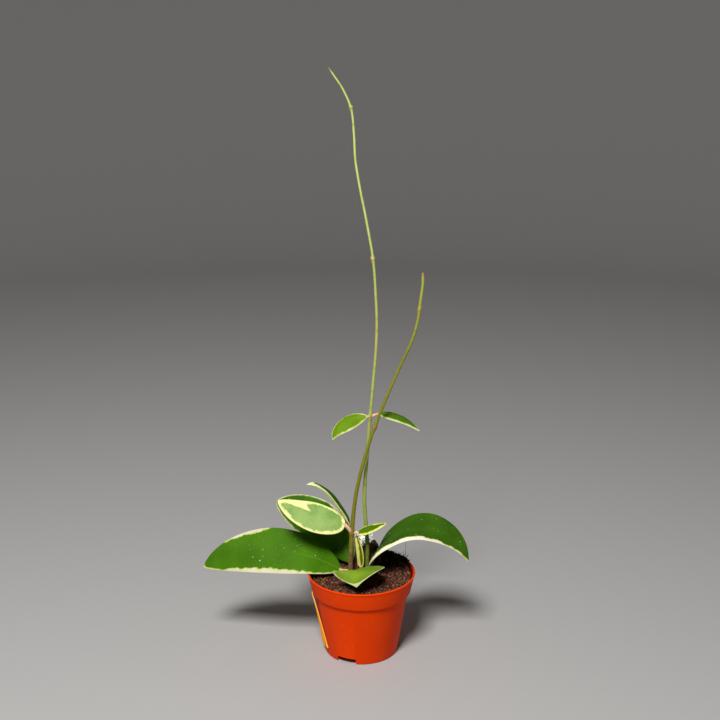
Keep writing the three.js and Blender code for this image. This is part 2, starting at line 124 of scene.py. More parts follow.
def make_floor():
    """A sheet turned round the upright axis: flat, up a quarter circle and then straight up, and
    closed at the axis by a small disc."""
    sides = 96
    bend = np.radians(np.arange(0, 91, 5))
    radius = np.concatenate([[0.02, 0.4, 0.8], FLAT_REACH + BEND_RADIUS * np.sin(bend),
                             [FLAT_REACH + BEND_RADIUS]])
    height = np.concatenate([[0, 0, 0], BEND_RADIUS * (1 - np.cos(bend)), [SHEET_TOP]])
    points = turned(np.stack([radius, height - SHEET_DROP], -1), sides).reshape(-1, 3)
    faces = [list(range(sides))] + grid_faces(len(radius), sides, True)[:, ::-1].tolist()
    mesh = bpy.data.meshes.new("studio_floor")
    mesh.from_pydata((points + AXIS).tolist(), [], faces)
    mesh.polygons.foreach_set("use_smooth", np.full(len(faces), True))
    mesh.materials.append(floor_material())
    floor = bpy.data.objects.new("studio_floor", mesh)
    bpy.context.scene.collection.objects.link(floor)
    floor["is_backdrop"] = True


def soft_lamp(name, place, target, size, power):
    """A square lamp that looks from its place at the target, both in millimetres."""
    lamp = bpy.data.objects.new(name, bpy.data.lights.new(name, "AREA"))
    lamp.data.size = size * MM
    lamp.data.energy = power
    lamp.location = AXIS + np.array(place) * MM
    aim = np.array(target) - np.array(place)
    lamp.rotation_euler = (
        math.atan2(np.hypot(aim[0], aim[1]), -aim[2]),
        0,
        math.atan2(aim[1], aim[0]) - math.pi / 2,
    )
    bpy.context.scene.collection.objects.link(lamp)


make_floor()
soft_lamp("key_lamp", (-170, -640, 930), (0, 0, 60), 260, 15.0)
world = bpy.data.worlds.new("studio")
world.use_nodes = True
world.node_tree.nodes["Background"].inputs["Color"].default_value = (0.4, 0.39, 0.38, 1)
world.node_tree.nodes["Background"].inputs["Strength"].default_value = 0.3
bpy.context.scene.world = world
bpy.context.scene.view_settings.view_transform = "Standard"


# The pot is thin moulded plastic: a tapered wall, a wide band under a rolled lip, and a foot ring
# with three notches, each with a drain hole behind it.
POT_HEIGHT = 46.6
RIM_RADIUS = 30.0
LIP_RADIUS = 0.55
BAND_TOP = (RIM_RADIUS - 0.5, POT_HEIGHT - 1.7)  # radius and height outside, as for the next two
BAND_FOOT = (27.6, 36.0)
WALL_TOP = (26.1, 35.4)
FOOT_RADIUS = 20.4
FOOT_WIDTH = 1.3
WALL = 0.8
FLOOR = (3.1, 4.1)  # heights of its underside and of its upper side
COVE = 0.6  # the slanted corner where the floor meets the wall
ROUNDING = 0.35  # how far a corner's curve reaches along its edges
NOTCH_SIZE = (11.0, 5.0, 6.2)
NOTCH_TURNS = (-24.0, 96.0, 216.0)  # degrees from the front, anticlockwise from above
DRAIN_RADIUS = 2.2
DRAIN_RING = 13.0
DRAIN_CUT = 2.0  # how far a drain's cutter passes the floor's two sides


def srgb(colour):
    """A colour given as six hexadecimal digits, in the linear light that shaders take."""
    parts = np.array([int(colour[i:i + 2], 16) / 255 for i in (0, 2, 4)])
    linear = np.where(parts < 0.04045, parts / 12.92, ((parts + 0.055) / 1.055) ** 2.4)
    return (*linear.tolist(), 1.0)


def new_piece(name, points, faces, material, stands_for=(), shade=None):
    """A smooth mesh object from points in millimetres and faces. It rides on the root body, takes
    the given material, stands for the named nodes and carries the shade values per point."""
    mesh = bpy.data.meshes.new(name)
    placed = np.asarray(points, float).reshape(-1, 3) * MM + AXIS
    mesh.from_pydata(placed.tolist(), [], [list(map(int, face)) for face in faces])
    mesh.polygons.foreach_set("use_smooth", np.full(len(mesh.polygons), True))
    for key, values in (shade or {}).items():
        attribute = mesh.attributes.new(key, "FLOAT", "POINT")
        attribute.data.foreach_set("value", np.asarray(values, float).ravel())
    mesh.materials.append(material)
    piece = bpy.data.objects.new(name, mesh)
    bpy.context.scene.collection.objects.link(piece)
    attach(piece, "root")
    if stands_for:
        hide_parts(*stands_for)
    return piece


class Nodes:
    """Short calls that add nodes to a tree and join their sockets. What a socket is given may be a
    number, a colour or another node's socket."""

    def __init__(self, tree):
        self.tree = tree

    def feed(self, node, inputs):
        """Gives a node's sockets, found by name or number, their values or their sources."""
        for key, value in inputs.items():
            if isinstance(value, bpy.types.NodeSocket):
                self.tree.links.new(value, node.inputs[key])
            else:
                node.inputs[key].default_value = value

    def add(self, kind, inputs=None, **settings):
        """A new node of the kind, with its settings and inputs."""
        node = self.tree.nodes.new(kind)
        for key, value in settings.items():
            setattr(node, key, value)
        self.feed(node, inputs or {})
        return node

    def place(self):
        """Where on the object a point lies, in metres."""
        return self.add("ShaderNodeTexCoord").outputs["Object"]

    def attribute(self, name):
        """A value that the mesh carries at its points."""
        return self.add("ShaderNodeAttribute", attribute_name=name).outputs["Fac"]

    def value(self, operation, first, second=0.0):
        """The result of one Math node."""
        return self.add("ShaderNodeMath", {0: first, 1: second}, operation=operation).outputs[0]

    def times(self, first, second):
        """A product."""
        return self.value("MULTIPLY", first, second)

    def plus(self, first, second):
        """A sum."""
        return self.value("ADD", first, second)

    def rest(self, share):
        """What is left of 1 beside the share."""
        return self.value("SUBTRACT", 1.0, share)

    def ramp(self, value, low, high):
        """0 below low, 1 above high and smooth between them."""
        node = self.add("ShaderNodeMapRange", {"Value": value, "From Min": low, "From Max": high},
                        interpolation_type="SMOOTHSTEP")
        return node.outputs["Result"]

    def spread(self, share, low, high):
        """A share from 0 to 1 made to run from low to high."""
        return self.add("ShaderNodeMapRange", {"Value": share, "To Min": low,
                                               "To Max": high}).outputs["Result"]

    def noise(self, place, size, detail=2.0, rough=0.5):
        """Noise from 0 to 1 whose lumps are about the given size in millimetres."""
        node = self.add("ShaderNodeTexNoise", {"Vector": place, "Scale": 1000.0 / size,
                                               "Detail": detail, "Roughness": rough})
        return node.outputs["Fac"]

    def mix(self, share, first, second, strength=None):
        """The first colour with the second mixed in by the share, times the strength if there is
        one. A colour is a socket or six hexadecimal digits."""
        if strength is not None:
            share = self.times(share, strength)
        first, second = (srgb(one) if isinstance(one, str) else one for one in (first, second))
        return self.add("ShaderNodeMix", {"Factor": share, 6: first, 7: second},
                        data_type="RGBA").outputs[2]


def new_material(name):
    """A material and its Nodes."""
    material = bpy.data.materials.new(name)
    material.use_nodes = True
    return material, Nodes(material.node_tree)


def surface(nodes, finish, relief, strength, depth):
    """Gives a material's shader its finish and bumps it by the relief, so many millimetres deep."""
    raised = nodes.add("ShaderNodeBump", {"Height": relief, "Strength": strength,
                                          "Distance": depth * MM})
    nodes.feed(nodes.tree.nodes["Principled BSDF"], {**finish, "Normal": raised.outputs["Normal"]})


def rounded_profile(corners, radius, steps=4):
    """A profile whose inner corners are replaced by short curves: each starts and ends the radius
    away along its two edges, at most 0.45 of an edge, and bends through the corner."""
    corners = np.array(corners, float)
    ahead = corners[2:] - corners[1:-1]
    behind = corners[:-2] - corners[1:-1]
    reach = np.minimum(radius, 0.45 * np.minimum(np.hypot(*ahead.T), np.hypot(*behind.T)))
    start = corners[1:-1] + behind * (reach / np.hypot(*behind.T))[:, None]
    end = corners[1:-1] + ahead * (reach / np.hypot(*ahead.T))[:, None]
    t = np.linspace(0, 1, steps)[None, :, None]
    curve = ((1 - t) ** 2 * start[:, None] + 2 * t * (1 - t) * corners[1:-1][:, None]
             + t ** 2 * end[:, None])
    return np.vstack([corners[:1], curve.reshape(-1, 2), corners[-1:]])


def capped_faces(rows, columns):
    """Quads of a grid that is wrapped round, with a cap over its first row and over its last."""
    last = (rows - 1) * columns
    return grid_faces(rows, columns, True).tolist() + [
        list(range(columns - 1, -1, -1)), list(range(last, last + columns))]


def joined(parts):
    """Several meshes, each a pair of points and faces, as one."""
    starts = np.cumsum([0] + [len(points) for points, _ in parts]).tolist()
    return np.vstack([points for points, _ in parts]), [
        [start + k for k in face] for start, (_, faces) in zip(starts, parts) for face in faces]


def pot_cutter():
    """One mesh of the three notch boxes and the three drain holes."""
    cube = np.array([(x, y, z) for z in (-1, 1) for y in (-1, 1) for x in (-1, 1)]) / 2
    cube_faces = [(0, 2, 3, 1), (4, 5, 7, 6), (0, 1, 5, 4), (2, 6, 7, 3), (0, 4, 6, 2),
                  (1, 3, 7, 5)]
    notch = cube * NOTCH_SIZE + (0, -FOOT_RADIUS, 0)
    sides = 32
    drain = turned([(DRAIN_RADIUS, FLOOR[0] - DRAIN_CUT), (DRAIN_RADIUS, FLOOR[1] + DRAIN_CUT)],
                   sides).reshape(-1, 3) + (0, -DRAIN_RING, 0)
    parts = []
    for angle in np.radians(NOTCH_TURNS):
        spin = np.array([[np.cos(angle), np.sin(angle), 0], [-np.sin(angle), np.cos(angle), 0],
                         [0, 0, 1]])
        parts += [(notch @ spin, cube_faces), (drain @ spin, capped_faces(2, sides))]
    return joined(parts)


def pot_plastic():
    """Orange-red plastic, a little glossy, with faint upright scuffs, dust and a fine grain. The
    inside of the band, what lies within the middle of the wall there, is darkened by painted shade."""
    material, nodes = new_material("pot_plastic")
    place = nodes.place()
    upright = nodes.add("ShaderNodeMapping", {"Vector": place, "Scale": (1, 1, 0.12)}).outputs[0]
    scuffs = nodes.ramp(nodes.noise(upright, 1.6, 3), 0.62, 0.78)
    cloud = nodes.noise(place, 14, 3)
    dust = nodes.ramp(nodes.noise(place, 0.9, 4, 0.7), 0.62, 0.72)
    dust_patch = nodes.ramp(nodes.noise(place, 9, 2), 0.5, 0.66)
    colour = nodes.mix(cloud, "e33c03", "ec4405")
    colour = nodes.mix(scuffs, colour, "f2703a", 0.18)
    colour = nodes.mix(nodes.times(dust, dust_patch), colour, "eebba4", 0.7)
    # Painted shade: above the band's foot and below the lip, the inside of the wall is darkened
    # towards a deep red.
    centred = nodes.add("ShaderNodeMapping", {
        "Vector": place, "Location": (-AXIS / MM).tolist(), "Scale": [1 / MM] * 3}).outputs[0]
    x, y, z = nodes.add("ShaderNodeSeparateXYZ", {"Vector": centred}).outputs
    radius = nodes.value("SQRT", nodes.plus(nodes.times(x, x), nodes.times(y, y)))
    slope = (BAND_TOP[0] - BAND_FOOT[0]) / (BAND_TOP[1] - BAND_FOOT[1])
    middle = nodes.plus(nodes.times(z, slope), BAND_FOOT[0] - WALL / 2 - slope * BAND_FOOT[1])
    inside = nodes.times(nodes.value("LESS_THAN", radius, middle),
                         nodes.value("GREATER_THAN", z, BAND_FOOT[1] + WALL))
    reach = nodes.rest(nodes.ramp(z, POT_HEIGHT - 1.4, POT_HEIGHT - 0.9))
    darkening = nodes.times(nodes.times(inside, reach), nodes.spread(cloud, 0.8, 1))
    colour = nodes.mix(darkening, colour, "741b04")
    surface(nodes, {"Base Color": colour, "Roughness": nodes.spread(scuffs, 0.42, 0.55),
                    "Specular IOR Level": 0.03}, nodes.noise(place, 0.5, 2), 0.12, 0.06)
    return material


def make_pot():
    """The profile runs from the middle of the floor's underside, out over the foot ring, up the
    wall and round the lip, and down the inside to the middle of the floor. The notches and holes
    are cut out of the finished shell."""
    turn = np.radians(np.arange(-60, 181, 20))
    lip = np.stack([RIM_RADIUS - LIP_RADIUS + LIP_RADIUS * np.cos(turn),
                    POT_HEIGHT - LIP_RADIUS + LIP_RADIUS * np.sin(turn)], -1)
    inner_foot = FOOT_RADIUS - FOOT_WIDTH
    outside = rounded_profile([(0.01, FLOOR[0]), (inner_foot, FLOOR[0]), (inner_foot, 0),
                               (FOOT_RADIUS, 0), WALL_TOP, BAND_FOOT, BAND_TOP, lip[0]], ROUNDING)
    inside = rounded_profile([lip[-1], (BAND_TOP[0] - WALL, BAND_TOP[1]),
                              (BAND_FOOT[0] - WALL, BAND_FOOT[1] + WALL),
                              (WALL_TOP[0] - WALL, BAND_FOOT[1]),
                              (inner_foot + COVE, FLOOR[1] + COVE), (inner_foot, FLOOR[1]),
                              (0.01, FLOOR[1])], ROUNDING)
    profile = np.vstack([outside, lip[1:-1], inside])
    columns = 192
    pot = new_piece("pot_shell", turned(profile, columns), capped_faces(len(profile), columns),
                    pot_plastic(), ["pot"])
    cutter_points, cutter_faces = pot_cutter()
    cutter_mesh = bpy.data.meshes.new("cutter")
    cutter_mesh.from_pydata((cutter_points * MM + AXIS).tolist(), [], cutter_faces)
    cutter = bpy.data.objects.new("cutter", cutter_mesh)
    bpy.context.scene.collection.objects.link(cutter)
    cut = pot.modifiers.new("notches", "BOOLEAN")
    cut.operation = "DIFFERENCE"
    cut.object = cutter
    depsgraph = bpy.context.evaluated_depsgraph_get()
    finished = bpy.data.meshes.new_from_object(pot.evaluated_get(depsgraph))
    pot.modifiers.clear()
    pot.data = finished
    pot.data.set_sharp_from_angle(angle=math.radians(35))
    bpy.data.objects.remove(cutter)


make_pot()


# The potting mix: dark coir and peat, shrunk a little from the wall, heaped at the back against
# the plug. Its surface is crumbly, with loose crumbs and paler fibres lying on it.
SOIL_EDGE = 41.8  # height
SOIL_RADIUS = 27.2
SOIL_SIDE = [(18.8, 4.4), (19.4, 5.0), (24.3, 36.2), (26.4, 37.1)]  # radius, height
MOUND_FOOT = -10.0  # the y where it starts to rise, and over what run to the back
MOUND_RUN = 34.0
MOUND_RISE = 4.4
PLUG_CENTRE = (1.4, 15.0)
PLUG_RADIUS = 6.9
COLLAR_RISE = 10.0
COLLAR_REACH = 2.2
HEAP_CENTRE = (16.5, 15.5)
HEAP_RISE = 4.6
HEAP_REACH = 8.0
HEAP_EDGE = 27.8  # the radius where it ends at the wall
HEAP_FADE = 3.2
BANK_TURN = 8  # degrees from the right
BANK_SPREAD = 26  # degrees
BANK_RADII = (19.0, 28.0)
BANK_RISE = 1.9
CRUMB_CORNERS = 12
CRUMB_SIZES = (0.16, 0.46)
SPILLED = 420  # crumbs on the rim
SPILLED_SIZES = (0.25, 0.5)
SPILL_TURNS = (25, 52)  # degrees from the right
SPILL_RADII = (26.6, 30.2)
STRAND_SIDES = 4
FIBRE_LENGTHS = (1.0, 3.8)
FIBRE_RADII = (0.05, 0.11)
FIBRE_LIFTS = (0.1, 0.7)  # how far their middles are off the soil
FIBRE_REACH = 27.0  # the radius that they are kept within
STANDING = 110  # fibres that stand up from the heap
STANDING_PLACES = ((15, 26), (11, 17))  # x and y between which they stand
STANDING_REACH = 28.8
STANDING_LEAN = 3.4
STANDING_RISES = (1.2, 4.2)
STANDING_RADIUS = 0.085
THREAD_FOOT = (25.1, 11.7)
THREAD_LEAN = (0.1, 0.2)
THREAD_RISE = 12.0


def ease(t):
    """From 0 to 1, level at both ends: 3t^2 - 2t^3."""
    return t * t * (3 - 2 * t)


def value_noise(x, y, size, seed):
    """Smooth noise from -1 to 1: random heights on a square lattice of the size, eased between
    its points."""
    table = np.random.default_rng(seed).uniform(-1, 1, (64, 64))
    u, v = x / size, y / size
    i, j = np.floor(u).astype(int), np.floor(v).astype(int)
    s, t = ease(u - i), ease(v - j)
    corner = lambda a, b: table[(i + a) % 64, (j + b) % 64]
    return ((corner(0, 0) * (1 - s) + corner(1, 0) * s) * (1 - t)
            + (corner(0, 1) * (1 - s) + corner(1, 1) * s) * t)


def soil_heap(x, y):
    """The loose heap at the back right: 1 in its middle, falling off in a bell shape."""
    return np.exp(-(np.hypot(x - HEAP_CENTRE[0], y - HEAP_CENTRE[1]) / HEAP_REACH) ** 2)


def soil_bank(x, y):
    """The mix that lies against the wall at the right: eased from 0 inside to 1 at the wall, times
    a bell shape round the pot."""
    near = np.clip((np.hypot(x, y) - BANK_RADII[0]) / (BANK_RADII[1] - BANK_RADII[0]), 0, 1)
    turn = np.degrees(np.arctan2(y, x)) - BANK_TURN
    return ease(near) * np.exp(-(turn / BANK_SPREAD) ** 2)


def soil_height(x, y, rough=1.0):
    """Level at the front, eased up by the mound's rise towards the back, with a bell-shaped collar
    against the plug, the heap, the bank, lumps of the solid's own sizes, and crumbs of three finer
    sizes, as high as rough says."""
    mound = MOUND_RISE * ease(np.clip((y - MOUND_FOOT) / MOUND_RUN, 0, 1))
    from_plug = np.hypot(x - PLUG_CENTRE[0], y - PLUG_CENTRE[1]) - PLUG_RADIUS
    collar = COLLAR_RISE * np.exp(-(np.maximum(from_plug, 0) / COLLAR_REACH) ** 2)
    inside = np.clip((HEAP_EDGE - np.hypot(x, y)) / HEAP_FADE, 0, 1)
    heap = HEAP_RISE * soil_heap(x, y) * inside
    lumps = 0.35 * np.sin(1.1 * x + 0.7 * y) * np.sin(0.9 * y - 0.5 * x + 1)
    fine = (0.4 * value_noise(x, y, 2.3, 11) + 0.34 * value_noise(x, y, 1.1, 12)
            + 0.26 * value_noise(x, y, 0.6, 13))
    return SOIL_EDGE + mound + collar + heap + BANK_RISE * soil_bank(x, y) + lumps + rough * fine


def new_group(name, inputs, outputs):
    """A node group with sockets of the given kinds: its Nodes, the sockets that it is given and the
    node that takes its results."""
    group = bpy.data.node_groups.new(name, "ShaderNodeTree")
    for side, sockets in (("INPUT", inputs), ("OUTPUT", outputs)):
        for socket, kind in sockets.items():
            group.interface.new_socket(socket, in_out=side, socket_type="NodeSocket" + kind)
    nodes = Nodes(group)
    return nodes, nodes.add("NodeGroupInput").outputs, nodes.add("NodeGroupOutput")


def peat_grain():
    """The node group for crumbly peat: a coarse and a fine noise, added up with the tone, go from
    dark by way of brown to pale."""
    nodes, given, result = new_group(
        "peat_grain", {"Dark": "Color", "Mid": "Color", "Pale": "Color", "Tone": "Float"},
        {"Color": "Color", "Height": "Float"})
    place = nodes.place()
    fine = nodes.noise(place, 0.55, 4, 0.7)
    mixed = nodes.plus(nodes.times(nodes.noise(place, 2.2, 4, 0.65), 0.5),
                       nodes.plus(nodes.times(fine, 0.6), given["Tone"]))
    colour = nodes.mix(nodes.ramp(mixed, 0.4, 0.68), given["Dark"], given["Mid"])
    colour = nodes.mix(nodes.ramp(mixed, 0.66, 1.1), colour, given["Pale"])
    nodes.feed(result, {"Color": colour, "Height": fine})
    return nodes.tree


PEAT_GRAIN = peat_grain()


def soil_material(name, dark, mid, pale):
    """Matt peat and coir: dark with brown and pale crumbs. The mesh's tone value makes single
    crumbs and fibres lighter or darker."""
    material, nodes = new_material(name)
    grain = nodes.add("ShaderNodeGroup", {"Dark": srgb(dark), "Mid": srgb(mid), "Pale": srgb(pale),
                                          "Tone": nodes.attribute("tone")}, node_tree=PEAT_GRAIN)
    surface(nodes, {"Base Color": grain.outputs["Color"], "Roughness": 0.92},
            grain.outputs["Height"], 0.7, 0.3)
    return material


def make_soil(material):
    """A polar grid: up the side just clear of the wall, over a rounded edge, and in to the middle.
    Every ring has the same turns, and the top takes its height from soil_height."""
    columns, rings = 400, 84
    turn = turns(columns)
    shrink = 0.25 * (value_noise(turn * 9, 0 * turn, 1.7, 21)
                     + value_noise(turn * 30, 0 * turn, 1.3, 22))
    brim = SOIL_RADIUS + 0.6 * shrink + 0.8 * soil_bank(27 * np.cos(turn), 27 * np.sin(turn))
    share = (np.linspace(1, 0.01, rings) ** 0.85)[:, None]
    x, y = brim * share * np.cos(turn), brim * share * np.sin(turn)
    drop = 1.2 * np.clip((share - 0.95) / 0.05, 0, 1) ** 2 * (1 - soil_heap(x, y))
    top = np.stack([x, y, soil_height(x, y) - drop], -1)
    rows = np.concatenate([turned(SOIL_SIDE, columns), top])
    # The top's tone is darkened on the heap at the back right, painted shade of the big right leaf,
    # and a little where it drops to the wall, painted shade in the gap.
    tone = np.concatenate([np.full((len(SOIL_SIDE), columns), -0.1),
                           0.1 * value_noise(x, y, 1.4, 31) - 0.06 * drop - 0.35 * soil_heap(x, y)])
    new_piece("potting_soil", rows, capped_faces(len(rows), columns), material,
              ["soil"], {"tone": tone})


def soil_places(count, rng):
    """Random places on the soil's top, even over its area, clear of the plug."""
    radius = (SOIL_RADIUS - 0.1) * np.sqrt(rng.uniform(0, 1, 3 * count))
    turn = rng.uniform(0, 2 * np.pi, 3 * count)
    x, y = radius * np.cos(turn), radius * np.sin(turn)
    clear = np.hypot(x - PLUG_CENTRE[0], y - PLUG_CENTRE[1]) > PLUG_RADIUS + 1.1
    return x[clear][:count], y[clear][:count]


def crumb_mesh(places, size, rng):
    """Each crumb is an icosahedron of the given size, with uneven corners, stretched, turned and
    leaned at random about its place."""
    gold = (1 + 5 ** 0.5) / 2
    corners = np.array([(-1, gold, 0), (1, gold, 0), (-1, -gold, 0), (1, -gold, 0), (0, -1, gold),
                        (0, 1, gold), (0, -1, -gold), (0, 1, -gold), (gold, 0, -1), (gold, 0, 1),
                        (-gold, 0, -1), (-gold, 0, 1)]) / np.hypot(1, gold)
    shell = np.array([(0, 11, 5), (0, 5, 1), (0, 1, 7), (0, 7, 10), (0, 10, 11), (1, 5, 9),
                      (5, 11, 4), (11, 10, 2), (10, 7, 6), (7, 1, 8), (3, 9, 4), (3, 4, 2),
                      (3, 2, 6), (3, 6, 8), (3, 8, 9), (4, 9, 5), (2, 4, 11), (6, 2, 10),
                      (8, 6, 7), (9, 8, 1)])
    count = len(places)
    stretch = size[:, None, None] * rng.uniform(0.6, 1.3, (count, 1, 3))
    turn = rng.uniform(0, 2 * np.pi, (count, 1))
    lean = rng.uniform(-0.4, 0.4, (count, 1))
    local = corners * rng.uniform(0.75, 1.25, (count, CRUMB_CORNERS, 1)) * stretch
    px = local[..., 0] * np.cos(turn) - local[..., 1] * np.sin(turn)
    py = local[..., 0] * np.sin(turn) + local[..., 1] * np.cos(turn)
    points = np.stack([px, py, local[..., 2] + px * lean], -1) + places[:, None]
    faces = shell + CRUMB_CORNERS * np.arange(count)[:, None, None]
    return points.reshape(-1, 3), faces.reshape(-1, 3)


def make_crumbs(material, count, seed):
    """Loose crumbs, a third of each sunk into the soil, darkened on the heap at the back right by
    painted shade, and dark ones over the rim there, partly spilled peat and partly painted shade
    laid where the leaf shades the rim."""
    rng = np.random.default_rng(seed)
    x, y = soil_places(count, rng)
    loose = np.stack([x, y, soil_height(x, y, 0.8) + 0.12], -1)
    # Painted shade: crumbs on the heap are darkened.
    tone = rng.normal(-0.09, 0.33, count) - 0.45 * soil_heap(x, y)
    turn = np.radians(rng.uniform(*SPILL_TURNS, SPILLED))
    radius = rng.uniform(*SPILL_RADII, SPILLED)
    x, y = radius * np.cos(turn), radius * np.sin(turn)
    on_rim = np.interp(radius, [27, 28.7, 29.5, 30.2], [0, 1, 1, 0.9])
    base = soil_height(x, y, 0) * (1 - on_rim) + (POT_HEIGHT - 0.2) * on_rim
    spilled = np.stack([x, y, base + rng.uniform(0, 0.7, SPILLED)], -1)
    size = np.concatenate([rng.uniform(*CRUMB_SIZES, count),
                           rng.uniform(*SPILLED_SIZES, SPILLED)])
    points, faces = crumb_mesh(np.vstack([loose, spilled]), size, rng)
    # Partly painted shade: the crumbs over the rim are dark.
    tone = np.concatenate([tone, rng.normal(-0.25, 0.12, SPILLED)])
    new_piece("soil_crumbs", points, faces, material,
              shade={"tone": np.repeat(tone, CRUMB_CORNERS)})


def path_direction(path):
    """The direction of a path, or of each of many, at each of its points."""
    along = np.gradient(path, axis=-2)
    return along / np.linalg.norm(along, axis=-1, keepdims=True)


def tube_points(path, radius, sides, toward):
    """A ring of points round each point of a path, or of each of many, square to its direction and
    started square to toward; radius may differ for each point of each ring."""
    along = path_direction(path)
    first = np.cross(along, toward)
    first /= np.linalg.norm(first, axis=-1, keepdims=True)
    second = np.cross(along, first)
    turn = turns(sides)[:, None]
    ring = first[..., None, :] * np.cos(turn) + second[..., None, :] * np.sin(turn)
    return path[..., None, :] + ring * np.broadcast_to(radius, ring.shape[:-1])[..., None]


def strand_mesh(paths, radius):
    """Thin strands: paths holds count x steps points, radius count x steps sizes, and each strand
    is a capped tube."""
    count, steps = paths.shape[:2]
    steep = np.abs(path_direction(paths)[..., 2:3]) > 0.9
    points = tube_points(paths, radius[..., None], STRAND_SIDES,
                         np.where(steep, (1.0, 0, 0), (0, 0, 1.0)))
    faces = (np.array(capped_faces(steps, STRAND_SIDES))
             + steps * STRAND_SIDES * np.arange(count)[:, None, None])
    return points.reshape(-1, 3), faces.reshape(-1, 4)


def make_fibres(material, count, seed):
    """Coir fibres: short arcs that lie on the crumbs, dip into the soil and grow thin at both ends,
    and differ in length, bend and tone. Dark ones stand up from the heap, each leaning further out
    the higher it gets, and one thread stands at the rim."""
    rng = np.random.default_rng(seed)
    steps = 7
    x, y = soil_places(count, rng)
    heading = rng.uniform(0, 2 * np.pi, count)[:, None]
    length = rng.uniform(*FIBRE_LENGTHS, count)[:, None]
    bend = rng.normal(0, 0.7, count)[:, None]
    s = np.linspace(-0.5, 0.5, steps)[None]
    px = x[:, None] + length * (s * np.cos(heading) - bend * s * s * np.sin(heading))
    py = y[:, None] + length * (s * np.sin(heading) + bend * s * s * np.cos(heading))
    inside = np.minimum(1, FIBRE_REACH / np.hypot(px, py))
    px, py = px * inside, py * inside
    lift = rng.uniform(*FIBRE_LIFTS, count)[:, None] * (1 - 5.5 * s * s)
    pz = soil_height(px, py, 0.8) + lift + 0.15
    radius = rng.uniform(*FIBRE_RADII, count)[:, None] * (1 - (2 * s) ** 4 * 0.7)
    flat = np.stack([px, py, pz], -1)
    root = np.stack([rng.uniform(*span, STANDING) for span in STANDING_PLACES], -1)
    root *= np.minimum(1, STANDING_REACH / np.hypot(*root.T))[:, None]
    lean = rng.uniform(-STANDING_LEAN, STANDING_LEAN, (STANDING, 2))
    rise = rng.uniform(*STANDING_RISES, STANDING)
    root[-1], lean[-1], rise[-1] = THREAD_FOOT, THREAD_LEAN, THREAD_RISE
    s = s + 0.5
    ground = np.minimum(soil_height(*root.T, 0) - 0.2, POT_HEIGHT)
    upright = np.concatenate([root[:, None] + lean[:, None] * (s * s)[..., None],
                              (ground[:, None] + rise[:, None] * s)[..., None]], -1)
    points, faces = strand_mesh(np.concatenate([flat, upright]), np.vstack([
        radius, np.full((STANDING, steps), STANDING_RADIUS)]))
    tone = np.concatenate([rng.uniform(-0.3, 0.45, count), np.full(STANDING, -0.3)])
    new_piece("coir_fibres", points, faces, material,
              shade={"tone": np.repeat(tone, steps * STRAND_SIDES)})


mix_material = soil_material("potting_mix", "140905", "682d17", "c08a54")
make_soil(mix_material)
make_crumbs(mix_material, 6400, 41)
make_fibres(mix_material, 1150, 42)


# The rooting plug: a cylinder of pressed peat, in which the cutting was rooted, in a sleeve of thin
# white perforated paper. It stands out of the soil at the back.
PLUG_TOP_RADIUS = 4.3
PLUG_FOOT = 24.0
PLUG_TOP = 61.4
PLUG_SHOULDER = PLUG_TOP - 13.0
PAPER_FOOT = 32.0
PAPER_TOP = 62.8
PLUG_SIDE = [(6.7, PLUG_FOOT + 0.4), (6.75, PAPER_FOOT), (6.75, PLUG_SHOULDER),
             (4.1, PLUG_TOP - 0.5)]  # radius, height
PAPER_FACES = (0.62, 0.38)  # how far its two faces stand off the plug
SLEEVE_CRUMBS = 0.72  # how far the middles of the crumbs on it do
SLEEVE_HEIGHTS = (46, 52, 62.4)  # the least, most usual and greatest of those crumbs
HOLE_STEP = 1.25
HOLE_RADIUS = 0.35  # as a share of the step


def round_plug(radius, turn, height):
    """Points at a radius and a turn round the plug's own axis, and at a height."""
    return polar(radius, turn, height) + (*PLUG_CENTRE, 0)


def make_plug():
    """The plug's profile turned round its own axis, its side and top roughened by crumbs."""
    columns, side_rings, top_rings = 120, 36, 18
    turn = turns(columns)
    side = [np.interp(np.linspace(0, 1, side_rings), [0, 0.25, 0.65, 1], values)
            for values in zip(*PLUG_SIDE)]
    radius = np.concatenate([[0.05, 5.9], side[0], np.linspace(3.9, 0.05, top_rings)])[:, None]
    height = np.concatenate([[PLUG_FOOT, PLUG_FOOT], side[1],
                             np.full(top_rings, PLUG_TOP - 0.3)])[:, None]
    rough = 0.25 * value_noise(turn * 12, height + 0 * turn, 1.0, 51)
    rows = polar(radius * (1 + rough / np.maximum(radius, 3)), turn, height)
    rows[-top_rings:, :, 2] += 0.3 * value_noise(rows[-top_rings:, :, 0], rows[-top_rings:, :, 1],
                                                 0.9, 52)
    rows += (*PLUG_CENTRE, 0)
    tone = 0.12 * value_noise(rows[..., 0], rows[..., 2], 1.2, 53)
    material = soil_material("pressed_peat", "160c08", "3a2015", "7a5a44")
    new_piece("peat_plug", rows, capped_faces(len(rows), columns), material,
              ["rooting_plug"], {"tone": tone})


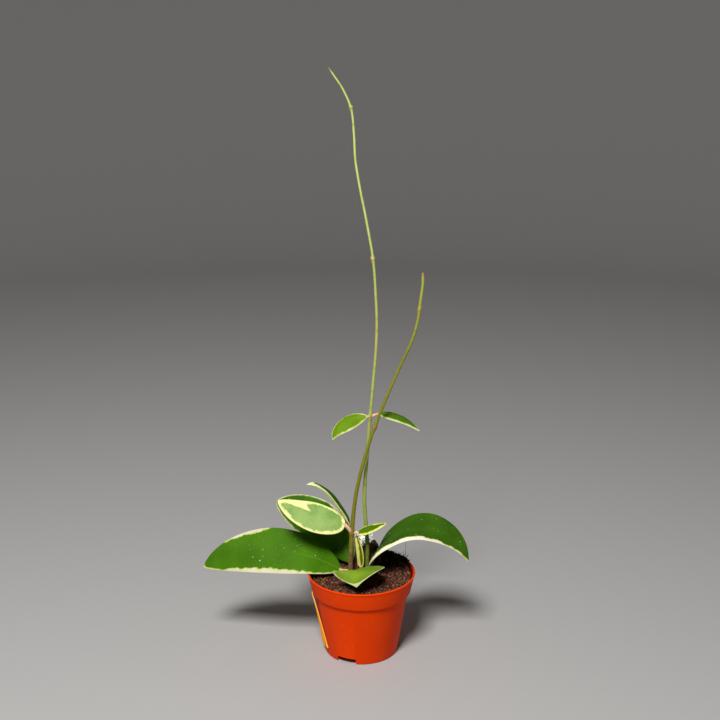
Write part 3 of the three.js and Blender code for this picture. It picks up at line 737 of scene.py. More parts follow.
def paper_material():
    """Thin white paper, damp and stained with peat near its foot, dotted with crumbs and pierced by
    small dark holes. It glows faintly: painted light that keeps it bright under the leaves."""
    material, nodes = new_material("sleeve_paper")
    place = nodes.place()
    height = nodes.attribute("height")
    sunk = nodes.times(nodes.value("SUBTRACT", 62.0, height), 0.03)
    speck = nodes.ramp(nodes.plus(nodes.noise(place, 0.9, 2, 0.6), sunk), 0.6, 0.66)
    cell = nodes.add("ShaderNodeTexVoronoi", {"Vector": place, "Scale": 1000 / HOLE_STEP,
                                              "Randomness": 0.7})
    speck = nodes.value("MAXIMUM", speck,
                        nodes.value("LESS_THAN", cell.outputs["Distance"], HOLE_RADIUS))
    darkening = nodes.noise(place, 3.0, 4, 0.6)
    low = nodes.ramp(nodes.plus(height, nodes.times(darkening, 9.0)), 61.6, 62.6)
    grain = nodes.noise(place, 0.45, 2, 0.7)
    damp = nodes.mix(nodes.ramp(grain, 0.5, 0.66), "2c140d", "6e4432")
    damp = nodes.mix(nodes.ramp(grain, 0.68, 0.76), damp, "c8b4a8")
    colour = nodes.mix(speck, nodes.mix(low, damp, "fbfafa"), "33190f", 0.85)
    # Painted light: the paper glows faintly with its own colour.
    surface(nodes, {"Base Color": colour, "Emission Color": colour, "Emission Strength": 0.38,
                    "Roughness": 0.85}, nodes.noise(place, 0.6, 3), 0.5, 0.15)
    return material


def sleeve_radius(height):
    """Straight up to the plug's shoulder, then drawn in evenly to the top."""
    return np.interp(height, [PLUG_SHOULDER, PAPER_TOP], [PLUG_RADIUS, PLUG_TOP_RADIUS])


def make_paper():
    """A closed tube wall: outside up, over the torn edge and inside down, creased lengthwise."""
    columns = 144
    turn = turns(columns)
    torn = (PAPER_TOP - 0.9 * np.sin(turn) + 0.5 * np.sin(5 * turn + 1)
            + 0.35 * value_noise(turn * 11, 0 * turn, 1.0, 61)
            + 0.25 * value_noise(turn * 40, 0 * turn, 1.0, 62))
    share = np.linspace(0, 1, 30)[:, None]
    height = PAPER_FOOT + share * (torn - PAPER_FOOT)
    crease = 0.14 * value_noise(turn * 10 + 0 * height, height, 1.6, 63) + 0.05 * np.sin(23 * turn)
    outside, inside = (round_plug(sleeve_radius(height) + margin + crease, turn, height)
                       for margin in PAPER_FACES)
    rows = np.concatenate([outside, inside[::-1]])
    faces = grid_faces(len(rows) + 1, columns, True) % (len(rows) * columns)
    new_piece("paper_sleeve", rows, faces, paper_material(), ["plug_paper"],
              {"height": rows[..., 2] - 1.4 * np.cos(turn)})


def make_sleeve_crumbs(count, seed):
    """Crumbs of peat pressed into the sleeve's damp lower part, and fewer up its clean side."""
    rng = np.random.default_rng(seed)
    turn = rng.uniform(0, 2 * np.pi, count)
    height = rng.triangular(*SLEEVE_HEIGHTS, count) - 1.2 * np.cos(turn)
    places = round_plug(sleeve_radius(height) + SLEEVE_CRUMBS, turn, height)
    points, faces = crumb_mesh(places, rng.uniform(0.14, 0.38, count), rng)
    tone = rng.normal(-0.12, 0.22, count)
    new_piece("sleeve_crumbs", points, faces, mix_material,
              shade={"tone": np.repeat(tone, CRUMB_CORNERS)})


make_plug()
make_paper()
make_sleeve_crumbs(1500, 64)


# The label: a stiff card with a plain orange face and a dark line along its border. It is bent
# round the left of the pot and leans from under the band in to the wall.
LABEL_WIDTH = 20.0
LABEL_THICK = 0.6
LABEL_GAP = 0.05
LABEL_BOW = 0.35
LABEL_TOP = (33.6, 27.12, 7.5)  # height, radius of the inner face, reach round to the front
LABEL_FOOT = (5.2, 21.5, 12.0)


def label_material():
    """Orange card: yellow towards its border, a dark line inside it, bare grey card behind. It
    glows faintly: painted light that brightens it where the lamp only grazes it.
    """
    material, nodes = new_material("label_card")
    place = nodes.place()
    border = nodes.attribute("border")
    line = nodes.times(nodes.ramp(border, 0.9, 1.1), nodes.rest(nodes.ramp(border, 1.5, 1.7)))
    colour = nodes.mix(nodes.ramp(border, 2.2, 2.5), "ffaa08", "ff9204")
    colour = nodes.mix(line, colour, "5a3414")
    colour = nodes.mix(nodes.noise(place, 1.5, 3), colour, "ffc040", 0.12)
    colour = nodes.mix(nodes.ramp(nodes.attribute("face"), 0, 0.4), "8d8a84", colour)
    # Painted light: the card glows faintly with its own colour.
    surface(nodes, {"Base Color": colour, "Roughness": 0.5, "Specular IOR Level": 0.03,
                    "Emission Color": colour, "Emission Strength": 0.25},
            nodes.noise(place, 0.4, 2), 0.1, 0.05)
    return material


def make_label():
    """Outer face and inner face as grids over the card, joined by its edges: across it a point
    turns by its distance over the radius, and down it the radius and the reach change evenly,
    bowed in a little by half a sine wave."""
    rows, columns = 41, 41
    share = np.linspace(0, 1, rows)[:, None]
    across = np.linspace(0, LABEL_WIDTH, columns)[None]
    height, radius, reach = (top + share * (foot - top)
                             for top, foot in zip(LABEL_TOP, LABEL_FOOT))
    turn = np.pi + (reach - across) / radius
    bow = LABEL_BOW * np.sin(np.pi * share)
    outer, inner = (polar(radius + margin - bow, turn, height).reshape(-1, 3)
                    for margin in (LABEL_THICK, LABEL_GAP))
    quads = grid_faces(rows, columns, False)
    rim = np.concatenate([np.arange(columns), np.arange(1, rows) * columns + columns - 1,
                          (rows - 1) * columns + np.arange(columns - 2, -1, -1),
                          np.arange(rows - 2, 0, -1) * columns])
    ahead = np.roll(rim, -1)
    edge = np.stack([rim, rim + len(outer), ahead + len(outer), ahead], -1)
    faces = np.vstack([quads, quads[:, ::-1] + len(outer), edge])
    border = np.minimum(np.minimum(share, 1 - share) * (LABEL_TOP[0] - LABEL_FOOT[0]),
                        np.minimum(across, LABEL_WIDTH - across))
    label = new_piece("pot_label_card", np.vstack([outer, inner]), faces, label_material(),
                      ["pot_label"],
                      {"border": np.concatenate([border.ravel()] * 2),
                       "face": np.concatenate([np.ones(len(outer)), np.zeros(len(inner))])})
    label.data.set_sharp_from_angle(angle=math.radians(50))


make_label()


# The two vines: bare climbing stems as thin as wire, swollen and scarred at their nodes. The front
# one is olive, brown at its foot and cut off blunt; the rear one is paler and ends in a fine tip.

# foot and tip are radii, thinning and blunt the powers of the taper, and a node's three numbers
# its height, its swelling and the length of that.
VINES = {
    "vine_front": dict(
        foot=1.5, tip=0.75, thinning=2.6, blunt=220,
        route=[(-6.4, 2.2, 34.5), (-6.1, 2, 46), (-5.8, 1.7, 58), (-5.3, 1.5, 68.6),
               (-3.6, 1.3, 87), (-0.8, 1, 102.4), (3.4, 0.8, 118.6), (7.3, 0.8, 131),
               (12.9, 0.8, 145.7), (17.4, 0.5, 157), (22.1, 0, 168.2), (26.8, -0.6, 179.2),
               (29.6, -1.2, 190.2), (30.9, -1.6, 201), (31.9, -1.4, 209), (31.9, -1, 215.5)],
        nodes=[(69, 0.5, 1.8), (130.5, 0.5, 2), (195.5, 0.4, 1.6)]),
    "vine_rear": dict(
        foot=1.2, tip=0.55, thinning=1.6, blunt=60,
        route=[(3.1, 4.2, 34.5), (3.2, 4.5, 47.3), (3.4, 5.1, 59.8), (2.6, 5.6, 70.5),
               (1.7, 6, 86.3), (2.1, 6.3, 98), (3.2, 6.6, 112.5), (4, 6.6, 125.3),
               (4.8, 6.5, 135), (6.5, 7, 155.2), (7.8, 7, 171.9), (8.2, 6.5, 186.3),
               (7.6, 6, 201.6), (6.1, 5.2, 221.1), (2.5, 5, 241.9), (-0.6, 5.6, 257.3),
               (-3.1, 6.5, 272.5), (-3.8, 7, 285.1), (-5.1, 6.5, 297.6), (-9.2, 5.1, 307.5),
               (-14, 3.6, 314.8), (-16.7, 3, 318.7)],
        nodes=[(134.6, 0.45, 1.8), (221, 0.45, 1.7), (298.5, 0.3, 1.4)]),
}
VINE_STEP = 0.55
BROWN_TIP = 2.4
UPRIGHT = (0, 1, 0)  # what the rings of an upright tube are started from


def smooth_route(points, step):
    """A Catmull-Rom curve through the points with a tension of one half, cut into equal steps."""
    points = np.array(points, float)
    padded = np.vstack([2 * points[:1] - points[1:2], points, 2 * points[-1:] - points[-2:-1]])
    before, start, end, after = padded[:-3], padded[1:-2], padded[2:-1], padded[3:]
    t = np.linspace(0, 1, 40, endpoint=False)[None, :, None]
    shares = (2 * t ** 3 - 3 * t ** 2 + 1, t ** 3 - 2 * t ** 2 + t, 3 * t ** 2 - 2 * t ** 3,
              t ** 3 - t ** 2)
    ends = (start, (end - before) / 2, end, (after - start) / 2)
    curve = sum(value[:, None] * share for value, share in zip(ends, shares))
    curve = np.vstack([curve.reshape(-1, 3), points[-1:]])
    passed = np.concatenate([[0], np.cumsum(np.linalg.norm(np.diff(curve, axis=0), axis=1))])
    marks = np.linspace(0, passed[-1], max(int(passed[-1] / step), 4) + 1)
    return np.stack([np.interp(marks, passed, curve[:, k]) for k in range(3)], -1)


def stem_marks():
    """The node group for what marks a stem's own colour: lengthwise streaks, darker blotches, small
    pale warts near its foot, and brown rings where the mesh has scars."""
    nodes, given, result = new_group("stem_marks", {"Color": "Color", "Scar": "Float"},
                                     {"Color": "Color", "Height": "Float"})
    place = nodes.place()
    up = nodes.add("ShaderNodeSeparateXYZ", {"Vector": place}).outputs["Z"]
    drawn_out = nodes.add("ShaderNodeMapping", {"Vector": place, "Scale": (1, 1, 0.08)}).outputs[0]
    streak = nodes.noise(drawn_out, 0.7, 3)
    colour = nodes.mix(nodes.ramp(streak, 0.45, 0.7), given["Color"], "a49c44", 0.35)
    colour = nodes.mix(nodes.ramp(nodes.noise(place, 2.5, 3), 0.5, 0.72), colour, "5c5a22", 0.3)
    wart = nodes.times(nodes.ramp(nodes.noise(place, 0.9, 2), 0.6, 0.68),
                       nodes.rest(nodes.ramp(up, 60 * MM, 67 * MM)))
    colour = nodes.mix(wart, colour, "b89c74", 0.55)
    colour = nodes.mix(given["Scar"], colour, "9c6a4c", 0.8)
    relief = nodes.plus(nodes.plus(streak, nodes.noise(place, 0.5, 2)), wart)
    nodes.feed(result, {"Color": colour, "Height": relief})
    return nodes.tree


STEM_MARKS = stem_marks()


def stem_material(name, colours, heights):
    """A slightly waxy green stem, blended through its colours from foot to tip: each is mixed in
    between its two heights."""
    material, nodes = new_material(name)
    up = nodes.add("ShaderNodeSeparateXYZ", {"Vector": nodes.place()}).outputs["Z"]
    colour = srgb(colours[0])
    for upper, (start, end) in zip(colours[1:], heights):
        colour = nodes.mix(nodes.ramp(up, start * MM, end * MM), colour, upper)
    marks = nodes.add("ShaderNodeGroup", {"Color": colour, "Scar": nodes.attribute("scar")},
                      node_tree=STEM_MARKS)
    surface(nodes, {"Base Color": marks.outputs["Color"], "Roughness": 0.5,
                    "Specular IOR Level": 0.12}, marks.outputs["Height"], 0.4, 0.12)
    return material


def vine_radius(path, vine):
    """The radius thins from foot to tip by a power, is rounded off at the very tip by the root of
    1 - share^blunt, and swells in a bell shape at each node."""
    share = np.linspace(0, 1, len(path))
    radius = vine["tip"] + (vine["foot"] - vine["tip"]) * (1 - share) ** vine["thinning"]
    radius *= np.sqrt(np.maximum(1 - share ** vine["blunt"], 0.04))
    for height, rise, reach in vine["nodes"]:
        radius += rise * np.exp(-((path[:, 2] - height) / reach) ** 2)
    return radius


def make_vine(name, material):
    """A tube along the route, slightly ribbed and uneven, with a ring scar at each node and a brown
    tip."""
    vine = VINES[name]
    sides = 20
    path = smooth_route(vine["route"], VINE_STEP)
    up = path[:, 2]
    turn = turns(sides)
    radius = vine_radius(path, vine)[:, None]
    uneven = 1 + 0.035 * value_noise(up[:, None], turn * 2, 3.0, 71) + 0.02 * np.sin(3 * turn)
    scar = np.clip(2 * (up - up[-1] + BROWN_TIP) / BROWN_TIP, 0, 1)
    for height, _, reach in vine["nodes"]:
        scar += np.exp(-((up - height) / (0.35 * reach)) ** 2)
    rings = tube_points(path, radius * uneven, sides, UPRIGHT)
    new_piece(name + "_stem", rings, capped_faces(*rings.shape[:2]), material, [name],
              {"scar": np.repeat(scar, sides)})


make_vine("vine_front", stem_material("olive_stem", ("6c5634", "767019", "777a1a", "999d3e"),
                                      ((50, 68), (68, 150), (163, 203))))
make_vine("vine_rear", stem_material("pale_stem", ("4d6a1e", "8fa044", "b0b566", "b6c46d"),
                                     ((48, 80), (80, 190), (190, 240))))


# The scales: dry, pointed leftovers of small leaves, in pairs at the nodes where no leaf has
# grown. They are thin and papery, and each grows out of the stem at its foot.
LEAFY_NODES = (69, 134.6)  # heights of the nodes that bear leaves


def scale_material():
    """Dry scales: pink-brown with darker streaks."""
    material, nodes = new_material("node_scale")
    place = nodes.place()
    colour = nodes.mix(nodes.ramp(nodes.noise(place, 0.8, 3), 0.4, 0.65), "7a4432", "b98a72")
    surface(nodes, {"Base Color": colour, "Roughness": 0.7}, nodes.noise(place, 0.4, 2), 0.4, 0.1)
    return material


def make_scales(seed):
    """At each node that bears no leaf, two small pointed scales: tubes that start in the stem, lean
    out and up, and taper to a tip. They are as large as the node's swelling."""
    rng = np.random.default_rng(seed)
    scales = []
    for vine in VINES.values():
        path = smooth_route(vine["route"], VINE_STEP)
        for height, rise, _ in vine["nodes"]:
            if height in LEAFY_NODES:
                continue
            node = path[np.argmin(np.abs(path[:, 2] - height))]
            size = 2 * rise
            for turn in rng.uniform(-0.5, 0.5) + np.array([0.2, np.pi - 0.2]):
                away = np.array([math.cos(turn), -0.4 * math.sin(turn), 0])
                length = size * rng.uniform(1.5, 2.3)
                s = np.linspace(0, 1, 8)[:, None]
                line = node + away * (0.5 + 1.1 * size * s ** 0.7) + (0, 0, 1) * s * length
                rings = tube_points(line, 0.55 * size * (1 - s) ** 0.6 + 0.04, 8, UPRIGHT)
                scales.append((rings.reshape(-1, 3), capped_faces(*rings.shape[:2])))
    points, faces = joined(scales)
    new_piece("vine_node_scales", points, faces, scale_material())


make_scales(72)


# The leaves: thick waxy blades, green with a cream margin, each on a short petiole that springs
# from its vine. A blade curls, folds and twists by its own few numbers.

# midrib holds four control points, face which way the upper side looks at the foot and at the tip,
# and petiole where the stalk springs, thick being its radius. outline holds the powers of the
# width, and arch, fold, wave and belly say how a blade bends across. high and low are the cream's
# width along the two margins, as pairs of share and width, where less than 0 is none. slant, soft
# and ragged shape its inner edge, and end keeps it off the blade's two ends. The colours go from
# deep and green in the middle by way of halo to cream.
LEAVES = {
    "leaf_large_left": dict(
        midrib=[(-11.6, 2.1, 46.1), (-35.4, 0.5, 61.9), (-64.2, 8.2, 58.9), (-87.9, 2.1, 47.9)],
        face=[(0.06, -0.68, 0.76), (0.11, -0.86, 0.4)],
        half_width=12.5, outline=(0.68, 0.76), arch=-0.01, fold=-0.02, wave=0.5,
        petiole=(-6.3, 2.1, 45.3), thick=1.1,
        high=[(0, -1.5), (0.505, -1.5), (0.52, 0.1), (0.575, 1.6), (0.62, 2.3), (0.68, 1.4),
              (0.745, 0.7), (0.81, 0.35), (0.84, -1.5)],
        low=[(0, 0.5), (0.18, 0.5), (0.35, 2), (0.5, 2.6), (0.66, 1.9), (0.8, 1.6), (0.88, 0.5)],
        deep="3b6706", green="457408", halo="a6be35", cream="c9c49f"),
    "leaf_large_right": dict(
        midrib=[(4.6, 3.4, 47.2), (8.2, 1.2, 69.7), (47, 3.5, 87.2), (59.3, -2.1, 53.5)],
        face=[(-1.16, 0.37, 0.29), (-0.5, -0.59, 1.92)],
        half_width=14.4, outline=(0.76, 1.05), arch=-0.31, fold=0.3, wave=0.4,
        petiole=(3.2, 4.4, 46.2), thick=1.0,
        belly=1.6, end=3,
        high=[(0, 0.6), (0.1, 1), (0.2, 1.6), (0.45, 2.7), (0.55, 2.9), (0.66, 2.1),
              (0.76, 1.2), (0.86, 0.6), (1, 0.2)],
        low=[(0, -1.5), (1, -1.5)],
        deep="31540e", green="3a610f", halo="b4c337", cream="ebe5c8"),
    "leaf_back": dict(
        midrib=[(-5.9, 7.2, 48.6), (-14.8, 17, 66.6), (-30.9, 25, 70.4), (-48.2, 22, 79)],
        face=[(-0.43, -0.7, 0.46), (-0.24, -0.83, 0.55)],
        half_width=12, outline=(0.62, 0.68), arch=0.15, fold=-0.06, wave=0.3,
        petiole=(-6.3, 2.1, 45.8), thick=1.0,
        high=[(0, 0.6), (0.3, 2.4), (0.45, 2.2), (0.52, 0.4), (1, 0.35)],
        low=[(0, -1.5), (0.45, -1.5), (0.62, 1.6), (0.8, 0.5), (1, 0.4)],
        # Its cream is greyed: painted shade, for the blade lies in the shade of the leaves in front
        # of it.
        deep="365e0e", green="3f6d10", halo="85a435", cream="c7c7a3"),
    "leaf_pale": dict(
        midrib=[(-9.1, 0.5, 74), (-23.1, -3.1, 79.4), (-34.9, -2.9, 81.6), (-45.5, -3, 89.5)],
        face=[(0.1, -0.71, 0.67), (-0.1, -0.73, 0.65)],
        half_width=8.1, outline=(0.45, 0.78), arch=0.1, fold=-0.02, wave=0.2,
        petiole=(-5.3, 1.5, 69.2), thick=1.3, ragged=1.2, soft=0.55, slant=0.035,
        high=[(0, 1.1), (0.55, 1.1), (0.66, 1.3), (0.7, 5.8), (0.76, 5.6), (0.82, 4.9),
              (0.87, 4), (0.92, 2.3), (0.98, 1.8), (1.2, 1.5)],
        low=[(0, 1.2), (0.08, 1.7), (0.3, 1.5), (0.5, 1), (0.65, 1.1), (0.75, 1.5), (0.85, 1.4),
             (1, 1.3)],
        deep="6b8f47", green="94b064", halo="c3cf6a", cream="e8e79c"),
    "leaf_small_right": dict(
        midrib=[(-1.8, 0.4, 69.1), (2.1, -1.1, 71.8), (8.4, -2.5, 73.4), (13.6, -4, 76.7)],
        face=[(0, -0.4, 0.9), (0.11, -0.3, 0.92)],
        half_width=3.2, outline=(0.49, 0.79), arch=0.07, fold=0, wave=0,
        petiole=(-5.3, 1.5, 68.8), thick=1.0,
        high=[(0, 0.8), (1, 0.9)], low=[(0, 0.9), (1, 0.9)],
        deep="416208", green="4c6e0d", halo="b3be37", cream="d6d971"),
    "leaf_curled": dict(
        midrib=[(-6.6, 4, 72.2), (-11.3, 4, 81.8), (-22.3, 3.2, 99.4), (-30, 2.2, 96.8)],
        face=[(0.74, 0.01, 0.68), (0.48, 0.22, 0.85)],
        half_width=6.1, outline=(0.43, 0.83), arch=-0.04, fold=-0.2, wave=0.2,
        petiole=(-5.3, 1.5, 69.6), thick=0.7, end=4,
        high=[(0, -1.5), (0.75, -1.5), (0.88, 1.5), (1, 2)],
        low=[(0, 0.5), (0.05, 1.2), (0.1, 2.4), (0.2, 4.6), (0.35, 6.4), (0.5, 6.8), (0.6, 6.3),
             (0.7, 5.5), (0.8, 4.4), (0.9, 3), (1, 2)],
        deep="325b07", green="3f680e", halo="c4cc52", cream="fbfab8"),
    "leaf_young": dict(
        midrib=[(-0.8, 3, 47.6), (1.2, 2.7, 51.4), (-2.5, 2.2, 65.9), (-2.7, 3, 66.4)],
        face=[(-0.38, -0.9, 0.19), (-0.23, -0.91, 0.26)],
        half_width=1.7, outline=(0.42, 0.85), arch=0, fold=-0.54, wave=0,
        petiole=(3.1, 4.3, 45.2), thick=0.8, ragged=0.4,
        high=[(0, 0.3), (1, 0.3)], low=[(0, 1.5), (0.5, 1.6), (1, 0.9)],
        deep="3d5e08", green="4f750a", halo="9eab37", cream="e0d86c"),
    "leaf_front": dict(
        midrib=[(-5, -7.2, 48.4), (-0.6, -10.2, 53.8), (-0.3, -15.9, 53.1), (-2.6, -24, 48.2)],
        face=[(0.39, -0.31, 0.75), (-0.45, 0.11, 0.6)],
        half_width=14.1, outline=(0.77, 1.03), arch=-0.03, fold=-0.06, wave=0.2,
        petiole=(-6.2, 2, 45.2), thick=0.9,
        high=[(0, 0.3), (0.6, 0.5), (0.86, 0.6), (0.9, 1.2), (0.94, 4), (1, 6)],
        low=[(0, 0.3), (0.6, 0.5), (0.86, 0.6), (0.9, 1.2), (0.94, 4), (1, 6)],
        deep="6a872a", green="7c9920", halo="abbe55", cream="c3c98b"),
    "leaf_upper_left": dict(
        midrib=[(3.3, 5.5, 135.1), (-5.2, 3, 135.6), (-14.5, 0.3, 130.4), (-15.5, 0.1, 123.6)],
        face=[(-0.11, -0.6, 0.81), (-0.45, -0.56, 0.67)],
        half_width=4.5, outline=(0.78, 1), arch=0.19, fold=0.09, wave=0,
        petiole=(4.8, 6.5, 134.6), thick=0.95,
        high=[(0, 0.7), (1, 0.6)], low=[(0, 0.45), (1, 0.6)],
        deep="587a0e", green="678a15", halo="abba4a", cream="ced494"),
    "leaf_upper_right": dict(
        midrib=[(9.3, 7.5, 136), (17.1, 9.5, 135.7), (23.8, 10.1, 133.1), (31.6, 7, 126.3)],
        face=[(0.04, -0.33, 0.93), (0.43, -0.33, 0.77)],
        half_width=3.2, outline=(0.5, 0.81), arch=0.2, fold=0.15, wave=0,
        petiole=(4.8, 6.5, 134.6), thick=0.95,
        high=[(0, 0.4), (1, 0.5)], low=[(0, 0.4), (1, 0.5)],
        deep="41620f", green="4e6f13", halo="a4b34a", cream="cdd498"),
}
BLADE_TIP = 0.35  # half the width of a blade's blunt ends
BLADE_HALF = 0.36  # half its thickness at the margin, and what is added at the midrib
BLADE_SWELL = 0.16
GROOVE = (0.16, 0.55)  # depth and width of the line over the midrib
RIB = (0.3, 0.7)  # height and width of the midrib under the blade
PUCKER = 0.1
STALK_END = 0.13  # the petiole runs under this share of the midrib


def bezier(points, share):
    """Place and direction on a cubic curve of four control points."""
    p0, p1, p2, p3 = np.array(points, float)
    s = np.asarray(share, float)[:, None]
    place = (1 - s) ** 3 * p0 + 3 * (1 - s) ** 2 * s * p1 + 3 * (1 - s) * s ** 2 * p2 + s ** 3 * p3
    slope = 3 * (1 - s) ** 2 * (p1 - p0) + 6 * (1 - s) * s * (p2 - p1) + 3 * s ** 2 * (p3 - p2)
    return place, slope / np.linalg.norm(slope, axis=1, keepdims=True)


def blade_surface(leaf, share, across):
    """The middle surface of a blade and its outward direction at each place, the distance from the
    midrib there and the half width. Across the midrib a point lies its share of the half width out,
    lifted by the wave and bent by arch and fold; the outline is share^foot (1 - share)^tip over its
    peak, plus a narrow end. A belly lifts the near half by sin(pi across^2), so that its margin
    turns down."""
    centre, along = bezier(leaf["midrib"], share)
    foot_face, tip_face = np.array(leaf["face"], float)
    looks = foot_face + (tip_face - foot_face) * share[:, None]
    side = np.cross(along, looks)
    side /= np.linalg.norm(side, axis=1, keepdims=True)
    up = np.cross(side, along)
    foot, tip = leaf["outline"]
    widest = foot / (foot + tip)
    half_width = leaf["half_width"]
    width = half_width * share ** foot * (1 - share) ** tip
    width = width / (widest ** foot * (1 - widest) ** tip) + BLADE_TIP
    t = across[None]
    q = t * width[:, None]
    bent = leaf["arch"] * q * q / half_width + leaf["fold"] * (np.hypot(q, 1) - 1)
    slope = 2 * leaf["arch"] * q / half_width + leaf["fold"] * q / np.hypot(q, 1)
    belly = leaf.get("belly", 0) * np.sin(np.pi * t.clip(0) ** 2) * np.interp(
        share, [0, 0.06, 0.2, 0.45, 0.65, 1], [0, 0.3, 1, 1, 0, 0])[:, None]
    wave = (leaf["wave"] * t ** 4 * np.sin(14 * share[:, None] + t)
            * (width / half_width)[:, None])
    middle = centre[:, None] + side[:, None] * q[..., None] + up[:, None] * (
        belly + wave - bent)[..., None]
    outward = up[:, None] + side[:, None] * slope[..., None]
    outward /= np.linalg.norm(outward, axis=2, keepdims=True)
    return middle, outward, q, width


def leaf_paint():
    """The node group that colours a blade: mottled green from Deep to Green, paler along the foot
    of the midrib, Halo and then Cream towards the margin, fine pale flecks, and a pink-brown
    Petiole. Inset is the distance from the margin, Band the width of the cream there, less than 0
    for none, Ragged how uneven its inner edge is and Soft how blurred, Rib the distance from the
    midrib, Along the share of the length and Under 1 on the lower face."""
    nodes, given, result = new_group(
        "leaf_paint",
        {"Deep": "Color", "Green": "Color", "Halo": "Color", "Cream": "Color", "Ragged": "Float",
         "Soft": "Float", "Inset": "Float", "Band": "Float", "Rib": "Float", "Along": "Float",
         "Under": "Float", "Petiole": "Float"},
        {"Color": "Color", "Roughness": "Float", "Height": "Float"})
    place = nodes.place()
    broad = nodes.noise(place, 13, 2)
    wavy = nodes.noise(place, 3.6, 3)
    fine = nodes.noise(place, 0.8, 3)
    shift = nodes.plus(nodes.times(nodes.value("SUBTRACT", wavy, 0.5), 3.2),
                       nodes.times(nodes.value("SUBTRACT", fine, 0.5), 0.5))
    width = nodes.value("MAXIMUM", nodes.value("MINIMUM", given["Band"], 1.2), 0.0)
    shift = nodes.times(nodes.times(shift, width), given["Ragged"])
    edge = nodes.value("SUBTRACT", nodes.plus(given["Band"], shift), given["Inset"])
    cream = nodes.ramp(edge, nodes.times(given["Soft"], -1.0), given["Soft"])
    grain = nodes.plus(nodes.times(broad, 0.75), nodes.times(fine, 0.25))
    colour = nodes.mix(nodes.ramp(grain, 0.35, 0.65), given["Deep"], given["Green"])
    rib = nodes.times(nodes.rest(nodes.ramp(given["Rib"], 0.15, 0.7)),
                      nodes.rest(nodes.ramp(given["Along"], 0.1, 0.5)))
    colour = nodes.mix(rib, colour, given["Halo"], 0.1)
    colour = nodes.mix(nodes.ramp(edge, -0.75, -0.1), colour, given["Halo"], 0.9)
    cell = nodes.add("ShaderNodeTexVoronoi", {"Vector": place, "Scale": 480.0})
    chosen = nodes.add("ShaderNodeSeparateColor", {"Color": cell.outputs["Color"]}).outputs[0]
    reach = nodes.times(nodes.value("SUBTRACT", chosen, 0.75), 0.6)
    fleck = nodes.value("LESS_THAN", cell.outputs["Distance"], reach)
    colour = nodes.mix(fleck, colour, "d3dcb4", 0.5)
    colour = nodes.mix(given["Under"], colour, nodes.mix(0.35, colour, "8fae5c"))
    pale = nodes.mix(nodes.ramp(wavy, 0.35, 0.7), given["Cream"], "fbf7e2")
    colour = nodes.mix(cream, colour, nodes.mix(0.15, given["Cream"], pale))
    stalk = nodes.mix(nodes.ramp(wavy, 0.3, 0.7), "e8bcae", "c4a078")
    colour = nodes.mix(given["Petiole"], colour, stalk)
    gloss = nodes.spread(nodes.noise(place, 4, 3), 0.5, 0.64)
    relief = nodes.plus(nodes.times(nodes.noise(place, 1.4, 3), 0.5),
                        nodes.times(nodes.noise(place, 0.3, 2), 0.25))
    nodes.feed(result, {"Color": colour, "Height": relief,
                        "Roughness": nodes.plus(gloss, nodes.times(given["Under"], 0.2))})
    return nodes.tree


LEAF_PAINT = leaf_paint()


def leaf_material(name, leaf):
    """A waxy blade painted by the group with the leaf's own greens and cream."""
    material, nodes = new_material(name)
    inputs = {socket: srgb(leaf[socket.lower()]) for socket in ("Deep", "Green", "Halo", "Cream")}
    inputs.update({"Ragged": leaf.get("ragged", 1.0), "Soft": leaf.get("soft", 0.16)})
    for socket in ("Inset", "Band", "Rib", "Along", "Under", "Petiole"):
        inputs[socket] = nodes.attribute(socket.lower())
    paint = nodes.add("ShaderNodeGroup", inputs, node_tree=LEAF_PAINT)
    surface(nodes, {"Base Color": paint.outputs["Color"], "Roughness": paint.outputs["Roughness"],
                    "Specular IOR Level": 0.045}, paint.outputs["Height"], 0.4, 0.2)
    return material


def blade_skin(leaf):
    """A closed skin: its upper face, a rounded margin and its lower face are one ring of points for
    each step along the midrib. Its thickness falls from the rib to the margin, a shallow groove
    runs over the rib and a ridge under it. With it come what the paint reads and its length."""
    rows, columns = 96, 33
    share = 0.5 - 0.5 * np.cos(np.pi * np.linspace(0, 1, rows + 1))
    across = np.sin(np.linspace(-1, 1, columns) * np.pi / 2)
    middle, outward, q, width = blade_surface(leaf, share, across)
    rounding = np.sqrt(np.maximum(1 - np.abs(across) ** 5, 0))
    half = (BLADE_HALF + BLADE_SWELL * (1 - np.abs(across)) ** 2) * rounding
    full = np.minimum(1, width / 2)[:, None]
    groove = GROOVE[0] * np.exp(-(q / GROOVE[1]) ** 2) * full * (1 - share[:, None])
    ridge = RIB[0] * np.exp(-(q / RIB[1]) ** 2) * full * (1 - 0.8 * share[:, None])
    pucker = PUCKER * full * value_noise(q + 40, share[:, None] * 60, 4.0, 81)
    upper = middle + outward * (half * full.clip(0.4) - groove + pucker)[..., None]
    lower = middle - outward * (half * full.clip(0.4) + ridge - pucker)[..., None]
    rings = np.concatenate([upper, lower[:, -2:0:-1]], axis=1)

    ends = np.minimum(share, 1 - share)[:, None]
    length = np.linalg.norm(np.diff(middle[:, columns // 2], axis=0), axis=1).sum()
    insets = [np.minimum(width[:, None] - side * q, ends * length * leaf.get("end", 1) + 0.3)
              for side in (1, -1)]
    bands = [np.interp(share[:, None] + leaf.get("slant", 0) * inset, *zip(*leaf[margin]))
             for inset, margin in zip(insets, ("high", "low"))]
    nearer = bands[0] - insets[0] > bands[1] - insets[1]
    fields = {"inset": np.where(nearer, *insets), "band": np.where(nearer, *bands),
              "rib": np.abs(q), "along": share[:, None] + 0 * q, "petiole": 0 * q}
    shade = {key: np.concatenate([field, field[:, -2:0:-1]], axis=1)
             for key, field in fields.items()}
    shade["under"] = np.concatenate([0 * q, 0 * q[:, 1:-1] + 1], axis=1)
    return rings, shade, length


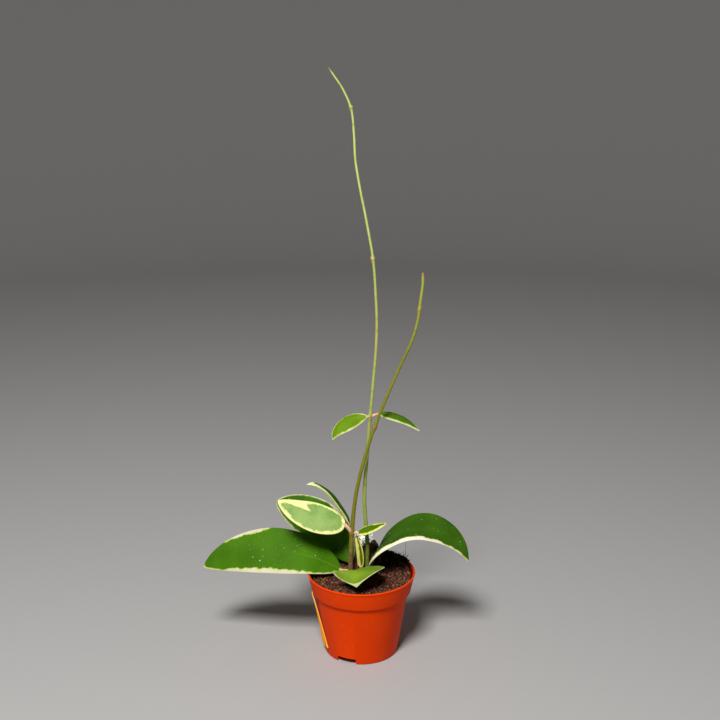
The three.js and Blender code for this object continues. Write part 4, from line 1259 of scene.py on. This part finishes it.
def petiole_tube(leaf, length):
    """A tapered tube that springs from the vine, and runs along under the foot of the midrib and
    thins out there."""
    root, away, _, _ = blade_surface(leaf, np.array([0, 0.05, STALK_END]), np.zeros(1))
    sunk = leaf["thick"] * np.array([0.15, 0.6, 0.75])
    path = smooth_route([leaf["petiole"], *(root[:, 0] - away[:, 0] * sunk[:, None])], 0.35)
    path_length = np.linalg.norm(np.diff(path, axis=0), axis=1).sum()
    joint = 1 - length * STALK_END / max(path_length, length * (STALK_END + 0.01))
    girth = leaf["thick"] * np.interp(np.linspace(0, 1, len(path)), [0, joint, 1], [1, 0.72, 0.25])
    return tube_points(path, girth[:, None], 12, leaf["face"][0])


def make_leaf(name, leaf):
    """The blade and its petiole, each closed, as one piece."""
    rings, shade, length = blade_skin(leaf)
    tube = petiole_tube(leaf, length)
    tube_shade = {"inset": 5, "band": -1, "rib": 5, "along": 1, "under": 0, "petiole": 1}
    points, faces = joined([(part.reshape(-1, 3), capped_faces(*part.shape[:2]))
                            for part in (rings, tube)])
    new_piece(name + "_blade", points, faces, leaf_material(name, leaf),
              [name],
              {key: np.concatenate([field.ravel(), np.full(tube[..., 0].size, tube_shade[key])])
               for key, field in shade.items()})


for leaf_name, leaf_values in LEAVES.items():
    make_leaf(leaf_name, leaf_values)


# The grit: specks of dry peat, perlite and lime that have fallen on the leaves and lie loose on
# their upper faces, with finer ones among them.

# For each speck its share along the leaf and across it, its size and its tone; then how many fine
# ones fall at random.
GRIT = {
    "leaf_large_left": ([(0.641, -0.27, 0.42, 1), (0.589, -0.46, 0.5, 0), (0.566, 0.04, 0.3, 0),
                         (0.419, 0.14, 0.3, 0), (0.681, 0.04, 0.22, 0), (0.726, 0.78, 0.2, 0),
                         (0.566, -0.26, 0.18, 0.2), (0.474, 0.12, 0.18, 0), (0.459, -0.22, 0.18, 0),
                         (0.334, 0.34, 0.2, 0), (0.197, 0.12, 0.28, 0)], 90),
    "leaf_large_right": ([(0.52, 0.62, 0.26, 0)], 70),
    "leaf_back": ([(0.164, -0.26, 0.32, 0), (0.109, 0.04, 0.22, 0), (0.142, 0.14, 0.2, 0)], 12),
    "leaf_pale": ([(0.449, -0.5, 0.24, 0), (0.329, -0.34, 0.24, 0), (0.629, -0.7, 0.2, 0),
                   (0.47, -0.42, 0.16, 0), (0.36, -0.5, 0.16, 0), (0.55, -0.6, 0.18, 0),
                   (0.52, -0.1, 0.14, 0)], 80),
    "leaf_front": ([], 14),
}
FINE_GRIT = ((0.08, 0.92), (-0.85, 0.85), (0.05, 0.14), (0, 0.5))  # the least and most of the same
GRIT_LIFT = 0.42  # from the middle of a blade to the middle of a speck


def grit_material():
    """Specks of dry peat, perlite and lime: white to tan by the mesh's tone."""
    material, nodes = new_material("leaf_grit")
    place = nodes.place()
    colour = nodes.mix(nodes.attribute("tone"), "f0f1e2", "dcac8c")
    colour = nodes.mix(nodes.noise(place, 0.3, 2), colour, "9a9470", 0.25)
    surface(nodes, {"Base Color": colour, "Roughness": 0.9}, nodes.noise(place, 0.2, 2), 0.5, 0.05)
    return material


def make_grit(seed):
    """Crumbs that lie on the upper faces of the blades."""
    rng = np.random.default_rng(seed)
    places, size, tone = [], [], []
    for name, (known, fine) in GRIT.items():
        loose = np.stack([rng.uniform(*span, fine) for span in FINE_GRIT], -1)
        for along, beside, grain, shade in np.vstack([np.array(known).reshape(-1, 4), loose]):
            middle, outward, _, _ = blade_surface(LEAVES[name], np.array([along]),
                                                  np.array([beside]))
            places.append((middle + outward * GRIT_LIFT)[0, 0])
            size.append(grain)
            tone.append(shade)
    points, faces = crumb_mesh(np.array(places), np.array(size), rng)
    new_piece("leaf_grit", points, faces, grit_material(),
              shade={"tone": np.repeat(tone, CRUMB_CORNERS)})


make_grit(91)


# The box of the solids and that of the finished model, put side by side.
({"cad": [list(map(float, corner)) for corner in cad_box],
           "visual": [list(map(float, corner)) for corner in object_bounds()]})
